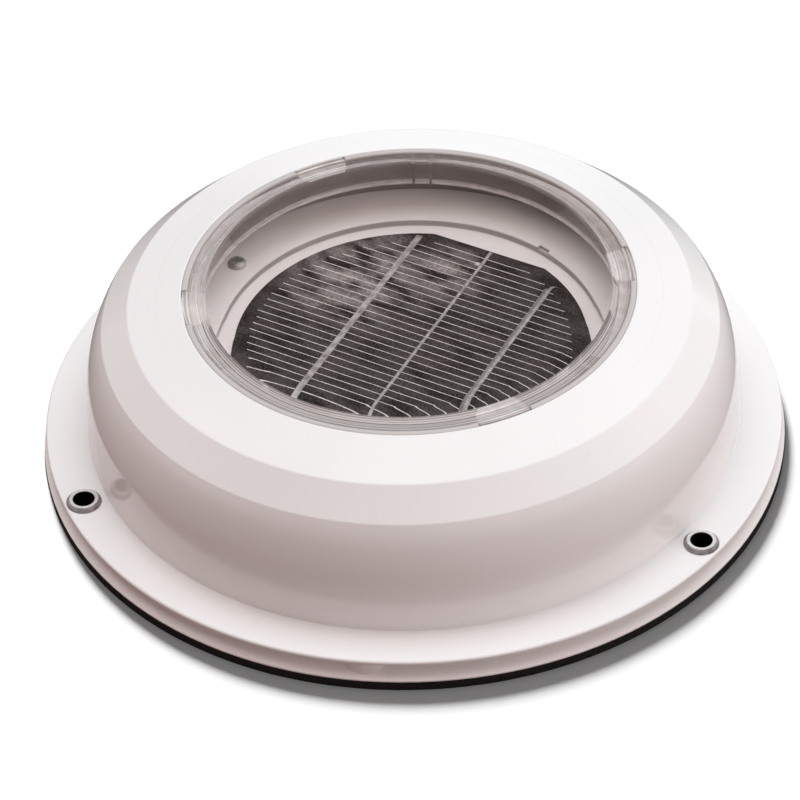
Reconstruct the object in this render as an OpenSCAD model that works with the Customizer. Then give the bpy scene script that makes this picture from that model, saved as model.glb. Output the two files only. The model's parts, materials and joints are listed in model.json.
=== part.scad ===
// Solar roof vent for a caravan: a moulded cover stands on a base ring with a
// narrow outlet gap between them, and a fan in the duct is driven by a round
// solar cell under a clear lens. Sizes are in millimetres, +Z is up, and the
// origin is on the axis at the underside of the roof gasket.

/* [Roof gasket] */
// Outside diameter of the gasket, the widest part of the vent
gasket_d = 215; // [205:1:235]
// Width of the gasket ring
gasket_w = 19.5; // [17:0.5:24]
// Thickness of the gasket
gasket_t = 3; // [2:0.5:5]

/* [Base ring] */
// How far the base ring's edge stays inside the gasket's
base_setback = 0.2; // [0:0.1:1]
// Thickness of the base ring at the gasket
base_t = 3.5; // [3:0.25:5]
// Thickness of the base plate inside the gasket
plate_t = 2.4; // [2:0.1:3]
// How far the edge slopes in, from its foot to its top
slope_run = 3.8; // [2:0.2:5]
// Upright height of the edge below the slope
edge_h = 0.4; // [0.2:0.1:1]
// Height of the outlet gap under the cover's flange
outlet_gap = 1.5; // [1:0.25:4]
// Radius of the spacer posts between the eyelets
post_r = 9; // [5:0.5:10]
// How far the spacer posts stay inside the cover's lip
post_setback = 0.3; // [0.1:0.1:1]
// Number of stiffening ribs under the base plate
base_rib_count = 12; // [6:1:18]

/* [Duct] */
// Inside diameter of the duct
duct_d = 112; // [104:1:118]
// Thickness of the duct's wall
duct_wall = 2.5; // [2:0.25:3.5]
// How far the duct's rim stands above the fan
duct_over = 2; // [1:0.5:3]
// Radius of the pillars that carry the deck
pillar_r = 3.8; // [3:0.2:4.5]

/* [Cover] */
// How far the cover's lip stays inside the base ring's edge
lip_setback = 0.9; // [0.4:0.1:2]
// Thickness of the flange, whose edge is fully rounded
flange_t = 1.6; // [1.4:0.1:2.4]
// Width of the flange, from the lip to the foot of the wall
flange_w = 12.3; // [11.5:0.1:15]
// Height of the wall above the flange
wall_h = 33.2; // [30:0.2:45]
// How far the wall leans in over its height
wall_run = 6.2; // [5:0.2:8]
// Lean of the wall's foot, in degrees
wall_lean = 3; // [1:0.5:5]
// Lean of the wall under the bevel, in degrees
wall_top_lean = 30; // [24:1:36]
// Height of the bevel above the wall
bevel_h = 7.4; // [4:0.2:10]
// How far the bevel runs in
bevel_run = 8; // [5:0.2:10]
// Rise of the crown from the bevel to the lens seal
crown_h = 4.4; // [2:0.1:6]
// Width of the crown, from the bevel to the lens seal
crown_w = 15.5; // [13:0.1:18]
// Thickness of the cover's wall
cover_wall = 2.2; // [1.8:0.1:3]
// Rounding of the cover's outer edges
cover_round = 1.6; // [0.5:0.1:2.5]

/* [Fixing eyelets] */
// Number of eyelets
eyelet_count = 3; // [3:1:6]
// Distance of the eyelets from the cover's lip
eyelet_inset = 5.6; // [5.2:0.1:6]
// Bore radius of an eyelet, for the roof screw
eyelet_bore_r = 3; // [2:0.1:3.2]
// Wall of an eyelet
eyelet_wall = 0.5; // [0.3:0.1:0.6]
// Radius of an eyelet's head
eyelet_head_r = 5; // [4.6:0.1:5.2]
// Height of an eyelet's head
eyelet_head_h = 1.4; // [0.8:0.1:2]

/* [Lens] */
// Width of the seal bead round the lens
seal_w = 1.7; // [1.2:0.1:2.5]
// Height of the seal bead
seal_h = 1.6; // [1.2:0.1:2]
// Height of the neck that the lens fits in, under the seal
neck_h = 2; // [1.6:0.1:3]
// Thickness of the neck behind the seal
neck_wall = 1.5; // [1:0.1:2.5]
// How far the lens stands above the crown's edge
lens_proud = 0.2; // [0:0.1:2]
// Thickness of the lens's top
lens_wall = 2; // [1.5:0.1:2.5]
// Thickness of the lens's rim
lens_rim = 3.6; // [3:0.1:4]
// Height of the lens from its foot to its top
lens_h = 10.5; // [9:0.1:12]
// Distance from the lens's edge in to its raised top
lens_step_w = 4.8; // [4.4:0.1:6]
// How far the slope of the lens's step runs
lens_step_run = 1.6; // [1:0.1:2]
// Height of the lens's step
lens_step_h = 1; // [0.6:0.1:1.2]
// Length of a lug along the lens's rim
lug_w = 15.5; // [10:0.5:18]
// Width of a snap tongue
tongue_w = 4.6; // [3:0.2:6]

/* [Deck] */
// Thickness of the deck
deck_t = 2; // [1.6:0.1:3]
// Depth of the cell's pocket
pocket_depth = 2.2; // [1.4:0.1:3]
// Gap between the cell and the pocket's side
pocket_gap = 4.2; // [2:0.2:6]
// Radius of a deck screw's head
screw_head_r = 2.75; // [2.4:0.05:3.2]
// Height of a deck screw's head
screw_head_h = 1.7; // [1.2:0.1:2]
// Shank radius of a deck screw
screw_r = 1.3; // [1:0.1:1.6]
// Direction of the deck screw that the lens shows
screw_angle = 152.5; // [140:0.5:165]
// Thickness of the cover's skirt, which stands on the deck
skirt_wall = 2.2; // [1.6:0.1:3]

/* [Solar cell] */
// Diameter of the wafer
cell_d = 101.6; // [96:0.1:104]
// Thickness of the wafer
cell_t = 0.4; // [0.3:0.05:0.8]
// Depth of the wafer's flat
cell_flat = 3.4; // [2:0.1:8]
// Direction of the wafer's flat
cell_angle = 68.5; // [0:0.5:90]
// Direction of the ribbons, which are soldered on a little askew
ribbon_angle = 71; // [0:0.5:90]
// Width of a tab ribbon
ribbon_w = 1.9; // [1:0.1:3]
// Width of the thin centre ribbon
centre_w = 0.9; // [0.5:0.1:1.5]
// Thickness of a ribbon
ribbon_t = 0.2; // [0.1:0.05:0.3]
// Distance from one ribbon to the next
ribbon_pitch = 22.6; // [15:0.1:24]
// How far the ribbons lie off the wafer's middle
ribbon_shift = 2.9; // [-5:0.1:5]

/* [Motor] */
// Diameter of the motor's can
motor_d = 24.4; // [23:0.2:28]
// Length of the motor's can
motor_l = 12.5; // [12:0.1:16]
// Thickness of the can's sheet
can_t = 0.8; // [0.6:0.1:1]
// Diameter of the motor's shaft
shaft_d = 2; // [1.5:0.1:2.4]
// Radial running clearance of the shaft in its bushes
shaft_clear = 0.03; // [0.02:0.01:0.08]
// Room for the leads between the motor and the deck
lead_space = 3.8; // [3.4:0.1:6]
// Diameter of a lead
lead_d = 1.2; // [0.8:0.1:1.4]
// Wall of the socket that holds the motor
socket_wall = 1.8; // [1.4:0.1:2.4]
// Thickness of the plate that keeps the motor in
retainer_t = 1.2; // [1:0.1:2]

/* [Fan] */
// Number of blades
blade_count = 7; // [5:1:8]
// Height of the blades
blade_h = 11; // [8:0.5:12]
// Thickness of a blade
blade_t = 1.4; // [1:0.1:1.8]
// Radius of a blade's curve at the hub
blade_root_curve = 20; // [18:0.5:24]
// Radius of a blade's curve at its tip
blade_tip_curve = 42; // [34:0.5:48]
// Gap between the blade tips and the duct
tip_gap = 1.5; // [1:0.1:3]
// Wall of the hub's cup
hub_wall = 1.6; // [1.2:0.1:2.4]
// Gap between the hub's cup and what it turns round
hub_gap = 1; // [0.6:0.1:2]

/* [Insect screen] */
// Height of the ring that holds the screen
screen_ring_h = 1.8; // [1.4:0.1:2]
// How far the ring's lip reaches in from the duct
screen_lip = 1.2; // [0.5:0.1:3]
// How far the screen's seat is wider than the duct
screen_seat = 3.5; // [2:0.1:4]
// Thickness of the screen
screen_t = 0.5; // [0.3:0.1:0.8]
// Distance from one ring of the screen to the next
screen_pitch = 3.6; // [3:0.1:5]
// Width of a ring of the screen
screen_bar = 1.2; // [0.8:0.1:1.6]
// Number of spokes that carry the screen's rings
spoke_count = 12; // [6:1:16]
// Width of a spoke of the screen
spoke_w = 1.4; // [1:0.1:2]
// Gap between the screen and the fan
fan_gap = 3.5; // [2:0.1:6]

/* [Hidden] */
$fn = 128;
// Overlap that makes a cut or a join clean
bite = 0.5;
// Clearance of a piece that sits in another
fit = 0.05;
// Clearance of a piece that drops in or is pushed through
ease = 0.1;
// Straight stretches that stand for one rounded corner
round_steps = 6;

// Radii, from the outside in
gasket_r = gasket_d / 2;
gasket_in_r = gasket_r - gasket_w;
base_r = gasket_r - base_setback;
lip_r = base_r - lip_setback;
wall_foot_r = lip_r - flange_w;
wall_top_r = wall_foot_r - wall_run;
bevel_top_r = wall_top_r - bevel_run;
seal_r = bevel_top_r - crown_w;
neck_r = seal_r - seal_w;
neck_wall_r = seal_r + neck_wall;
eyelet_at = lip_r - eyelet_inset;
eyelet_post_wall = 0.9;
gasket_hole_room = 0.4;
post_at = lip_r - post_setback - post_r;
duct_r = duct_d / 2;
duct_out_r = duct_r + duct_wall;

// Heights of the base and the cover, from the roof up
base_top_z = gasket_t + base_t;
flange_low_z = base_top_z + outlet_gap;
flange_z = flange_low_z + flange_t;
wall_top_z = flange_z + wall_h;
bevel_top_z = wall_top_z + bevel_h;
crown_z = bevel_top_z + crown_h;
seal_sink = 0.2;
seal_z = crown_z - seal_sink - seal_h;
neck_low_z = seal_z - neck_h;

// Screen, fan and motor, stacked up from the duct's mouth
screen_lift = 0.2;
screen_ring_low_z = gasket_t + screen_lift;
screen_z = screen_ring_low_z + screen_ring_h;
fan_z = screen_z + screen_t + fan_gap;
hub_floor_t = 1.6;
hub_floor_z = fan_z + hub_floor_t;
motor_screw_head_h = 1.2;
motor_screw_head_r = 1.9;
motor_screw_r = 0.95;
motor_screw_bite_l = 6;
hub_floor_gap = 0.6;
retainer_low_z = hub_floor_z + hub_floor_gap + motor_screw_head_h;
motor_z = retainer_low_z + retainer_t;
motor_top_z = motor_z + motor_l;
blade_top_z = fan_z + blade_h;
duct_top_z = blade_top_z + duct_over;

// Deck, which stands on the pillars over the motor
floor_low_z = motor_top_z + lead_space;
floor_z = floor_low_z + deck_t;
deck_z = floor_z + pocket_depth;
deck_low_z = deck_z - deck_t;
cell_r = cell_d / 2;
ribbon_margin = 0.6;
pocket_r = cell_r + pocket_gap;
screw_off_duct = 3.5;
screw_off_pocket = 4.25;
screw_off_skirt = 5.25;
neck_off_skirt = 3.5;
screw_at = max(duct_out_r + screw_off_duct, pocket_r + screw_head_r + screw_off_pocket);
skirt_in_r = max(screw_at + screw_head_r + screw_off_skirt, neck_wall_r + neck_off_skirt);
deck_r = skirt_in_r + skirt_wall;
pillar_count = 4;
screw_count = 2;
deck_rib_count = 6;
deck_rib_h = 1.5;
rib_t = 1.6;
screw_bite_l = 10;
hole_over = 1;

// Lens
lens_r = neck_r - ease - ease;
lens_top_z = crown_z + lens_proud;
lens_foot_z = lens_top_z - lens_h;
lug_reach = 1;
lug_h = 1.2;
lug_low_z = seal_z - lug_h;
lug_angles = [14.5, 122];
tongue_count = 3;
tongue_angle = -26;
tongue_slit = 0.7;
barb_reach = 0.7;
barb_h = 1.1;

// Eyelets and their holes
eyelet_r = eyelet_bore_r + eyelet_wall;
eyelet_angle = 90;
flare_setback = 0.4;
flare_r = eyelet_head_r - flare_setback;
flare_h = 0.9;

// Motor
motor_r = motor_d / 2;
can_in_r = motor_r - can_t;
shaft_r = shaft_d / 2;
socket_in_r = motor_r + ease;
socket_r = socket_in_r + socket_wall;
boss_r = 2.4;
boss_at = socket_r + boss_r - bite;
bush_wall = 1.45;
bush_r = shaft_r + bush_wall;
bush_l = 2.5;
bush_boss_h = 1.2;
bush_boss_wall = 0.8;
cap_t = 2;
cap_low_z = motor_top_z - cap_t;
winding_over = 0.8;
inner_gap = 0.3;
bush_end_z = motor_z - bush_boss_h + bush_l;
core_z = bush_end_z + inner_gap + winding_over;
commutator_l = 2.2;
commutator_wall = 1.6;
commutator_r = shaft_r + commutator_wall;
commutator_z = cap_low_z - inner_gap - commutator_l;
core_top_z = commutator_z - inner_gap - winding_over;
magnet_t = 1.75;
magnet_in_r = can_in_r - fit - magnet_t;
air_gap = 0.6;
core_r = magnet_in_r - air_gap;
pole_count = 3;
pole_t = 1.4;
arm_w = 3;
terminal_t = 0.4;
terminal_w = 2;
terminal_h = 2.4;
terminal_inset = 4;
terminal_at = motor_r - terminal_inset;
brush_t = 0.3;
lead_r = lead_d / 2;
lead_bend_r = 2;
lead_off_boss = 3.6;
lead_at = boss_at + boss_r + lead_off_boss;
lead_z = motor_top_z + terminal_h - lead_r - ease;
lead_angle = 62.5;
retainer_room = 1;
retainer_bore_r = bush_r + bush_boss_wall + retainer_room;

// Fan
hub_in_r = boss_at + boss_r + hub_gap;
hub_r = hub_in_r + hub_wall;
hub_over = 0.6;
hub_top_z = blade_top_z + hub_over;
hub_boss_wall = 2.4;
hub_boss_r = shaft_r + hub_boss_wall;
hub_boss_gap = 0.4;
hub_boss_z = motor_z - bush_boss_h - hub_boss_gap;
tip_r = duct_r - tip_gap;
blade_lift = 0.3;
blade_slope = (blade_tip_curve - blade_root_curve) / (tip_r - hub_r);
blade_half_angle = atan(blade_slope);
blade_apex = hub_r - blade_root_curve / blade_slope;

// Insect screen
screen_seat_r = duct_r + screen_seat;
screen_r = screen_seat_r - ease;
screen_ring_in_r = duct_r - screen_lip;

// Unit vector
function unit(v) = v / norm(v);

// Turn from one direction to another, by the shorter way
function short_turn(a) = a > 180 ? a - 360 : a < -180 ? a + 360 : a;

// Points that round the corner b, between a and c, with radius r
function rounded_corner(a, b, c, r) =
    let (
        u = unit(a - b),
        v = unit(c - b),
        half = acos(u * v) / 2,
        centre = b + unit(u + v) * r / sin(half),
        first = b + u * r / tan(half) - centre,
        last = b + v * r / tan(half) - centre,
        start = atan2(first.y, first.x),
        step = short_turn(atan2(last.y, last.x) - start) / round_steps
    )
    [for (i = [0 : round_steps]) centre + r * [cos(start + i * step), sin(start + i * step)]];

// Outline from corners that are [radius, height, rounding]
function outline(corners) =
    let (n = len(corners), at = [for (c = corners) [c[0], c[1]]])
    [for (i = [0 : n - 1]) each corners[i][2] > 0
        ? rounded_corner(at[(i + n - 1) % n], at[i], at[(i + 1) % n], corners[i][2])
        : [at[i]]];

// Line from p to q moved to its right by d, as two points
function moved(p, q, d) =
    let (u = unit(q - p), n = [u.y, -u.x] * d)
    [p + n, q + n];

// Point where two lines cross
function crossing(m, n) =
    let (d = m[1] - m[0], e = n[1] - n[0], w = n[0] - m[0])
    m[0] + d * (w.x * e.y - w.y * e.x) / (d.x * e.y - d.y * e.x);

// Solid of revolution with rounded corners
module revolved(corners) {
    rotate_extrude() polygon(outline(corners));
}

// Ring in the plane
module flat_ring(r_in, r_out) {
    difference() {
        circle(r = r_out);
        circle(r = r_in);
    }
}

// Plain ring
module ring(r_in, r_out, low, high) {
    rotate_extrude() translate([r_in, low]) square([r_out - r_in, high - low]);
}

// Stretch of a ring, centred on an angle
module ring_sector(r_in, r_out, low, high, middle, span) {
    rotate(middle - span / 2)
        rotate_extrude(angle = span) translate([r_in, low]) square([r_out - r_in, high - low]);
}

// Copies at equal steps round the axis
module around(count, first = 0) {
    for (i = [0 : count - 1]) rotate(first + i * 360 / count) children();
}

// Upright round bar or hole
module bar(r, low, high, at = 0) {
    translate([at, 0, low]) cylinder(h = high - low, r = r);
}

// Flat foam ring with a hole for each roof screw
module roof_gasket() {
    color("#1a1918") difference() {
        ring(gasket_in_r, gasket_r, 0, gasket_t);
        around(eyelet_count, eyelet_angle)
            bar(eyelet_bore_r + gasket_hole_room, -bite, gasket_t + bite, eyelet_at);
    }
}

// Lower moulding: plate with the sloped edge, duct, spacer posts and pillars
module base_ring() {
    slope_top_r = base_r - slope_run;
    plate_low_z = base_top_z - plate_t;
    seat_margin = 2;
    seat_in_r = gasket_in_r - seat_margin;
    rim_round = duct_wall / 2 - fit;
    mouth_wall = 3;
    mouth_r = screen_seat_r + mouth_wall;
    color("#e9e3e2") difference() {
        union() {
            revolved([
                [duct_r, gasket_t, 0], [mouth_r, gasket_t, 0], [mouth_r, plate_low_z, 0],
                [seat_in_r, plate_low_z, 0], [seat_in_r, gasket_t, 0], [base_r, gasket_t, 0],
                [base_r, gasket_t + edge_h, 0.2], [slope_top_r, base_top_z, 0.8],
                [duct_out_r, base_top_z, 0], [duct_out_r, duct_top_z, rim_round],
                [duct_r, duct_top_z, rim_round]
            ]);
            around(base_rib_count, eyelet_angle + 180 / base_rib_count)
                translate([mouth_r - bite, -rib_t / 2, gasket_t])
                    cube([seat_in_r - mouth_r + 2 * bite, rib_t, plate_low_z - gasket_t + bite]);
            intersection() {
                around(eyelet_count, eyelet_angle + 180 / eyelet_count)
                    bar(post_r, gasket_t, flange_low_z, post_at);
                ring(gasket_in_r, lip_r, gasket_t, flange_low_z);
            }
            around(eyelet_count, eyelet_angle)
                bar(eyelet_r + eyelet_post_wall, plate_low_z, flange_low_z, eyelet_at);
            around(pillar_count, screw_angle) bar(pillar_r, plate_low_z, deck_low_z, screw_at);
        }
        ring(0, screen_seat_r, gasket_t - bite, screen_z + screen_t + fit);
        around(eyelet_count, eyelet_angle) {
            bar(eyelet_r + ease, gasket_t - bite, flange_low_z + bite, eyelet_at);
            bar(flare_r + ease, gasket_t - bite, gasket_t + flare_h + ease, eyelet_at);
        }
        around(screw_count, screw_angle)
            bar(screw_r + fit, deck_low_z - screw_bite_l - hole_over, deck_low_z + bite, screw_at);
        bar(duct_r, gasket_t - bite, duct_top_z + bite);
    }
}

// Outer moulding: flange, wall with a rounded top, bevel and crown in one even
// thickness, with a skirt down to the deck and a neck for the lens
module cover() {
    foot = [wall_foot_r, flange_z];
    shoulder = [wall_top_r, wall_top_z];
    belly_h = (wall_h * tan(wall_top_lean) - wall_run) / (tan(wall_top_lean) - tan(wall_lean));
    belly = foot + belly_h * [-tan(wall_lean), 1];
    belly_round = (norm(shoulder - belly) - cover_round) / tan((wall_top_lean - wall_lean) / 2);
    brim = [bevel_top_r, bevel_top_z];
    edge = [seal_r, crown_z];
    low_inside = moved(belly, foot, cover_wall);
    high_inside = moved(shoulder, belly, cover_wall);
    bevel_inside = moved(brim, shoulder, cover_wall);
    crown_inside = moved(edge, brim, cover_wall);
    flange_under = [[wall_foot_r, flange_low_z], [lip_r, flange_low_z]];
    neck_side = [[neck_wall_r, neck_low_z], [neck_wall_r, crown_z]];
    in_foot = crossing(low_inside, flange_under);
    in_belly = crossing(high_inside, low_inside);
    in_shoulder = crossing(high_inside, bevel_inside);
    in_brim = crossing(bevel_inside, crown_inside);
    in_edge = crossing(crown_inside, neck_side);
    lip_round = flange_t / 2 - fit / 10;
    surface = [edge, brim, shoulder];
    color("#efeaea") difference() {
        union() {
            revolved([
                [lip_r, flange_low_z, lip_round], [lip_r, flange_z, lip_round], [foot.x, foot.y, 0.4],
                [belly.x, belly.y, belly_round], [shoulder.x, shoulder.y, cover_round],
                [brim.x, brim.y, cover_round], [edge.x, edge.y, 0.4], [seal_r, seal_z, 0],
                [neck_r, seal_z, 0], [neck_r, neck_low_z, 0], [neck_wall_r, neck_low_z, 0],
                [in_edge.x, in_edge.y, 0], [in_brim.x, in_brim.y, 0], [in_shoulder.x, in_shoulder.y, 0],
                [in_belly.x, in_belly.y, belly_round - cover_wall], [in_foot.x, in_foot.y, 0]
            ]);
            rotate_extrude() polygon([
                [skirt_in_r, deck_z], [deck_r, deck_z],
                [deck_r, lookup(deck_r, surface) - cover_wall / 2],
                [skirt_in_r, lookup(skirt_in_r, surface) - cover_wall / 2]
            ]);
        }
        around(eyelet_count, eyelet_angle)
            bar(eyelet_r + ease, flange_low_z - bite, flange_z + bite, eyelet_at);
        lens_lugs(ease, bite);
    }
}

// Tubular eyelets: domed head on the flange, flared foot under the base ring
module eyelets() {
    flare_z = gasket_t + ease;
    head_top_z = flange_z + eyelet_head_h;
    head_edge_h = 0.5;
    head_slope = 0.9;
    color("#b9bcc0") around(eyelet_count, eyelet_angle) translate([eyelet_at, 0, 0]) revolved([
        [eyelet_bore_r, flare_z, 0], [flare_r, flare_z, 0.25], [flare_r, flare_z + flare_h, 0.25],
        [eyelet_r, gasket_t + flare_h + ease, 0], [eyelet_r, flange_z, 0], [eyelet_head_r, flange_z, 0],
        [eyelet_head_r, flange_z + head_edge_h, 0.3], [eyelet_head_r - head_slope, head_top_z, 0.6],
        [eyelet_bore_r, head_top_z, 0.5]
    ]);
}

// Lugs on the lens's rim in two opposite pairs, grown by the room that their notches need
module lens_lugs(room = 0, above = 0) {
    span = (lug_w + 2 * room) / lens_r * 180 / PI;
    for (angle = lug_angles)
        around(2, angle)
            ring_sector(lens_r - bite, lens_r + lug_reach + room,
                lug_low_z, seal_z - ease + above, 0, span);
}

// Clear cap with a raised top; its tongues snap under the neck of the cover
module lens() {
    in_r = lens_r - lens_rim;
    under_z = lens_top_z - lens_wall;
    top_r = lens_r - lens_step_w;
    rim_z = lens_top_z - lens_step_h;
    slit_at = (tongue_w + tongue_slit) / 2;
    slit_r = in_r - bite;
    barb_top_z = neck_low_z - ease;
    barb_w = tongue_w - 0.4;
    barb_span = barb_w / lens_r * 180 / PI;
    color("#dfe6e8", 0.35) union() {
        difference() {
            revolved([
                [0, under_z, 0], [in_r, under_z, 0.5], [in_r, lens_foot_z, 0.3], [lens_r, lens_foot_z, 0.3],
                [lens_r, rim_z, 0.3], [top_r + lens_step_run, rim_z, 0], [top_r, lens_top_z, 0.3],
                [0, lens_top_z, 0]
            ]);
            around(tongue_count, tongue_angle)
                for (side = [-1, 1])
                    translate([slit_r, side * slit_at - tongue_slit / 2, lens_foot_z - bite])
                        cube([lens_r + bite - slit_r, tongue_slit, seal_z - lens_foot_z]);
        }
        lens_lugs();
        around(tongue_count, tongue_angle)
            ring_sector(lens_r - bite, lens_r + barb_reach, barb_top_z - barb_h, barb_top_z, 0, barb_span);
    }
}

// Soft bead pressed in between the lens and the crown
module lens_seal() {
    color("#e6e0de") revolved([
        [lens_r + fit, seal_z, 0], [seal_r - fit, seal_z, 0],
        [seal_r - fit, seal_z + seal_h, 0.6], [lens_r + fit, seal_z + seal_h, 0.6]
    ]);
}

// Tray under the lens: pocket for the cell above, socket for the motor below
module deck() {
    step_r = pocket_r + deck_t;
    nick_angle = 53;
    nick_w = 4;
    nick_depth = 1;
    nick_reach = 1.2;
    color("#ddd6d4") difference() {
        union() {
            revolved([
                [0, floor_low_z, 0], [step_r, floor_low_z, 0], [step_r, deck_low_z, 0],
                [deck_r, deck_low_z, 0], [deck_r, deck_z, 0], [pocket_r, deck_z, 0.4],
                [pocket_r, floor_z, 0], [0, floor_z, 0]
            ]);
            ring(socket_in_r, socket_r, motor_z, floor_low_z + bite);
            around(2) bar(boss_r, motor_z, floor_low_z + bite, boss_at);
            around(deck_rib_count, 180 / deck_rib_count)
                translate([socket_r - bite, -rib_t / 2, floor_low_z - deck_rib_h])
                    cube([step_r - socket_r, rib_t, deck_rib_h + bite]);
        }
        around(screw_count, screw_angle) bar(screw_r + ease, deck_low_z - bite, deck_z + bite, screw_at);
        around(2)
            bar(motor_screw_r + fit, motor_z - bite, motor_z + motor_screw_bite_l + hole_over, boss_at);
        bar(socket_in_r, motor_z - bite, floor_low_z);
        around(2, lead_angle) {
            bar(lead_r + ease, floor_low_z - bite, floor_z + bite, lead_at);
            translate([socket_in_r - bite, -lead_d, motor_top_z + ease])
                cube([socket_wall + 2 * bite, 2 * lead_d, lead_space - ease]);
        }
        rotate(nick_angle) translate([pocket_r - bite, -nick_w / 2, deck_z - nick_depth])
            cube([bite + nick_reach, nick_w, nick_depth + bite]);
    }
}

// Screw with a domed head and a crossed recess, its head seated at z 0
module pan_screw(head_r, head_h, shank_r, shank_l) {
    recess_w = head_r * 0.26;
    recess_l = head_r * 1.2;
    recess_h = head_h * 0.55;
    difference() {
        union() {
            revolved([[0, 0, 0], [head_r, 0, 0], [head_r, head_h, head_h * 0.75], [0, head_h, 0]]);
            bar(shank_r, -shank_l, bite);
        }
        for (turn = [0, 90])
            rotate(turn) translate([-recess_l / 2, -recess_w / 2, head_h - recess_h])
                cube([recess_l, recess_w, head_h]);
    }
}

// Screws that hold the deck down on two of the pillars
module deck_screws() {
    recess_turn = 35;
    color("#8d8f92") around(screw_count, screw_angle)
        translate([screw_at, 0, deck_z]) rotate(recess_turn)
            pan_screw(screw_head_r, screw_head_h, screw_r, deck_t + screw_bite_l);
}

// Round wafer with one flat, lying on the pocket's floor
module solar_cell() {
    color("#2b2727") rotate(cell_angle) difference() {
        bar(cell_r, floor_z, floor_z + cell_t);
        translate([cell_r - cell_flat, -cell_d, floor_z - bite])
            cube([cell_d, 2 * cell_d, cell_t + 2 * bite]);
    }
}

// Half length of the wafer along a line beside its middle
function half_chord(offset) = sqrt(cell_r * cell_r - offset * offset);

// Flat strip on the wafer, between two places along the ribbons' direction
module ribbon(offset, width, from, to) {
    rotate(ribbon_angle) translate([from, offset - width / 2, floor_z + cell_t])
        cube([to - from, width, ribbon_t]);
}

// Two wide ribbons; the right one stops short of the edge, with a turned end
module tab_ribbons() {
    left = ribbon_pitch - ribbon_shift;
    right = -ribbon_pitch - ribbon_shift;
    left_end = half_chord(left + ribbon_w) - ribbon_margin;
    right_end = half_chord(right - ribbon_w) - ribbon_margin;
    short_by = 3.9;
    short_end = right_end - short_by;
    hook_w = ribbon_w / 2;
    hook_l = 3;
    color("#b9b1ae") {
        ribbon(left, ribbon_w, -left_end, left_end);
        ribbon(right, ribbon_w, -right_end, short_end);
        ribbon(right - (ribbon_w + hook_l) / 2, hook_l, short_end - hook_w, short_end);
    }
}

// Thin ribbon between the two wide ones
module centre_ribbon() {
    low_end = half_chord(ribbon_shift + centre_w) - ribbon_margin;
    flat_end = cell_r - cell_flat - ribbon_margin;
    color("#b9b1ae") ribbon(-ribbon_shift, centre_w, -low_end, flat_end);
}

// Wire from under the cell, down through the deck and in to a motor terminal
module lead() {
    elbow_at = lead_at - lead_bend_r;
    elbow_z = lead_z + lead_bend_r;
    end_at = terminal_at + terminal_t / 2;
    bar(lead_r, elbow_z, floor_z, lead_at);
    translate([elbow_at, 0, elbow_z]) rotate([90, 0, 0]) rotate(-90)
        rotate_extrude(angle = 90) translate([lead_bend_r, 0]) circle(r = lead_r, $fn = 32);
    translate([end_at, 0, lead_z]) rotate([0, 90, 0]) cylinder(h = elbow_at - end_at, r = lead_r);
}

module positive_lead() {
    color("#b3231c") rotate(lead_angle) lead();
}

module negative_lead() {
    color("#151515") rotate(lead_angle + 180) lead();
}

// Drawn steel can, closed at the shaft's side, with a boss for the front bush
module motor_can() {
    hole_r = bush_r + fit;
    boss_out_r = hole_r + bush_boss_wall;
    color("#aeb0b3") revolved([
        [hole_r, motor_z - bush_boss_h, 0], [boss_out_r, motor_z - bush_boss_h, 0.2],
        [boss_out_r, motor_z, 0], [motor_r, motor_z, 0.7], [motor_r, motor_top_z, 0],
        [can_in_r, motor_top_z, 0], [can_in_r, motor_z + can_t, 0], [hole_r, motor_z + can_t, 0]
    ]);
}

// Plastic end of the motor, which holds the rear bush
module motor_end_cap() {
    color("#e3e0d8") ring(bush_r + fit, can_in_r - fit, cap_low_z, motor_top_z);
}

// Two ferrite arcs inside the can
module motor_magnets() {
    magnet_span = 140;
    magnet_end_gap = 2;
    magnet_top_z = cap_low_z - magnet_end_gap;
    color("#3a3a3c") for (side = [0, 180])
        ring_sector(magnet_in_r, can_in_r - fit, motor_z + can_t, magnet_top_z, side, magnet_span);
}

// Spring strips beside the commutator, held in the end cap
module motor_brushes() {
    brush_w = 1.6;
    color("#c08a4a") around(2, 90)
        translate([commutator_r + inner_gap, -brush_w / 2, commutator_z + inner_gap])
            cube([brush_t, brush_w, cap_low_z - commutator_z - inner_gap]);
}

// Solder tabs on the end cap
module motor_terminals() {
    color("#c9a45c") around(2, lead_angle)
        translate([terminal_at - terminal_t / 2, -terminal_w / 2, motor_top_z])
            cube([terminal_t, terminal_w, terminal_h]);
}

// Plain bearing for the shaft
module bush(low, high) {
    color("#b08d57") ring(shaft_r + shaft_clear, bush_r, low, high);
}

module front_bush() {
    bush(motor_z - bush_boss_h, bush_end_z);
}

module rear_bush() {
    bush(cap_low_z, motor_top_z);
}

// Plate with two ears that keeps the motor up in its socket
module motor_retainer() {
    color("#ddd6d4") difference() {
        union() {
            ring(retainer_bore_r, socket_r, retainer_low_z, motor_z);
            around(2) bar(boss_r, retainer_low_z, motor_z, boss_at);
        }
        around(2) bar(motor_screw_r + ease, retainer_low_z - bite, motor_z + bite, boss_at);
    }
}

module motor_screws() {
    color("#8d8f92") around(2) translate([boss_at, 0, retainer_low_z]) rotate([180, 0, 0])
        pan_screw(motor_screw_head_r, motor_screw_head_h, motor_screw_r, retainer_t + motor_screw_bite_l);
}

module motor_shaft() {
    color("#c4c6c9") bar(shaft_r, fan_z, motor_top_z - inner_gap);
}

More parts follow.
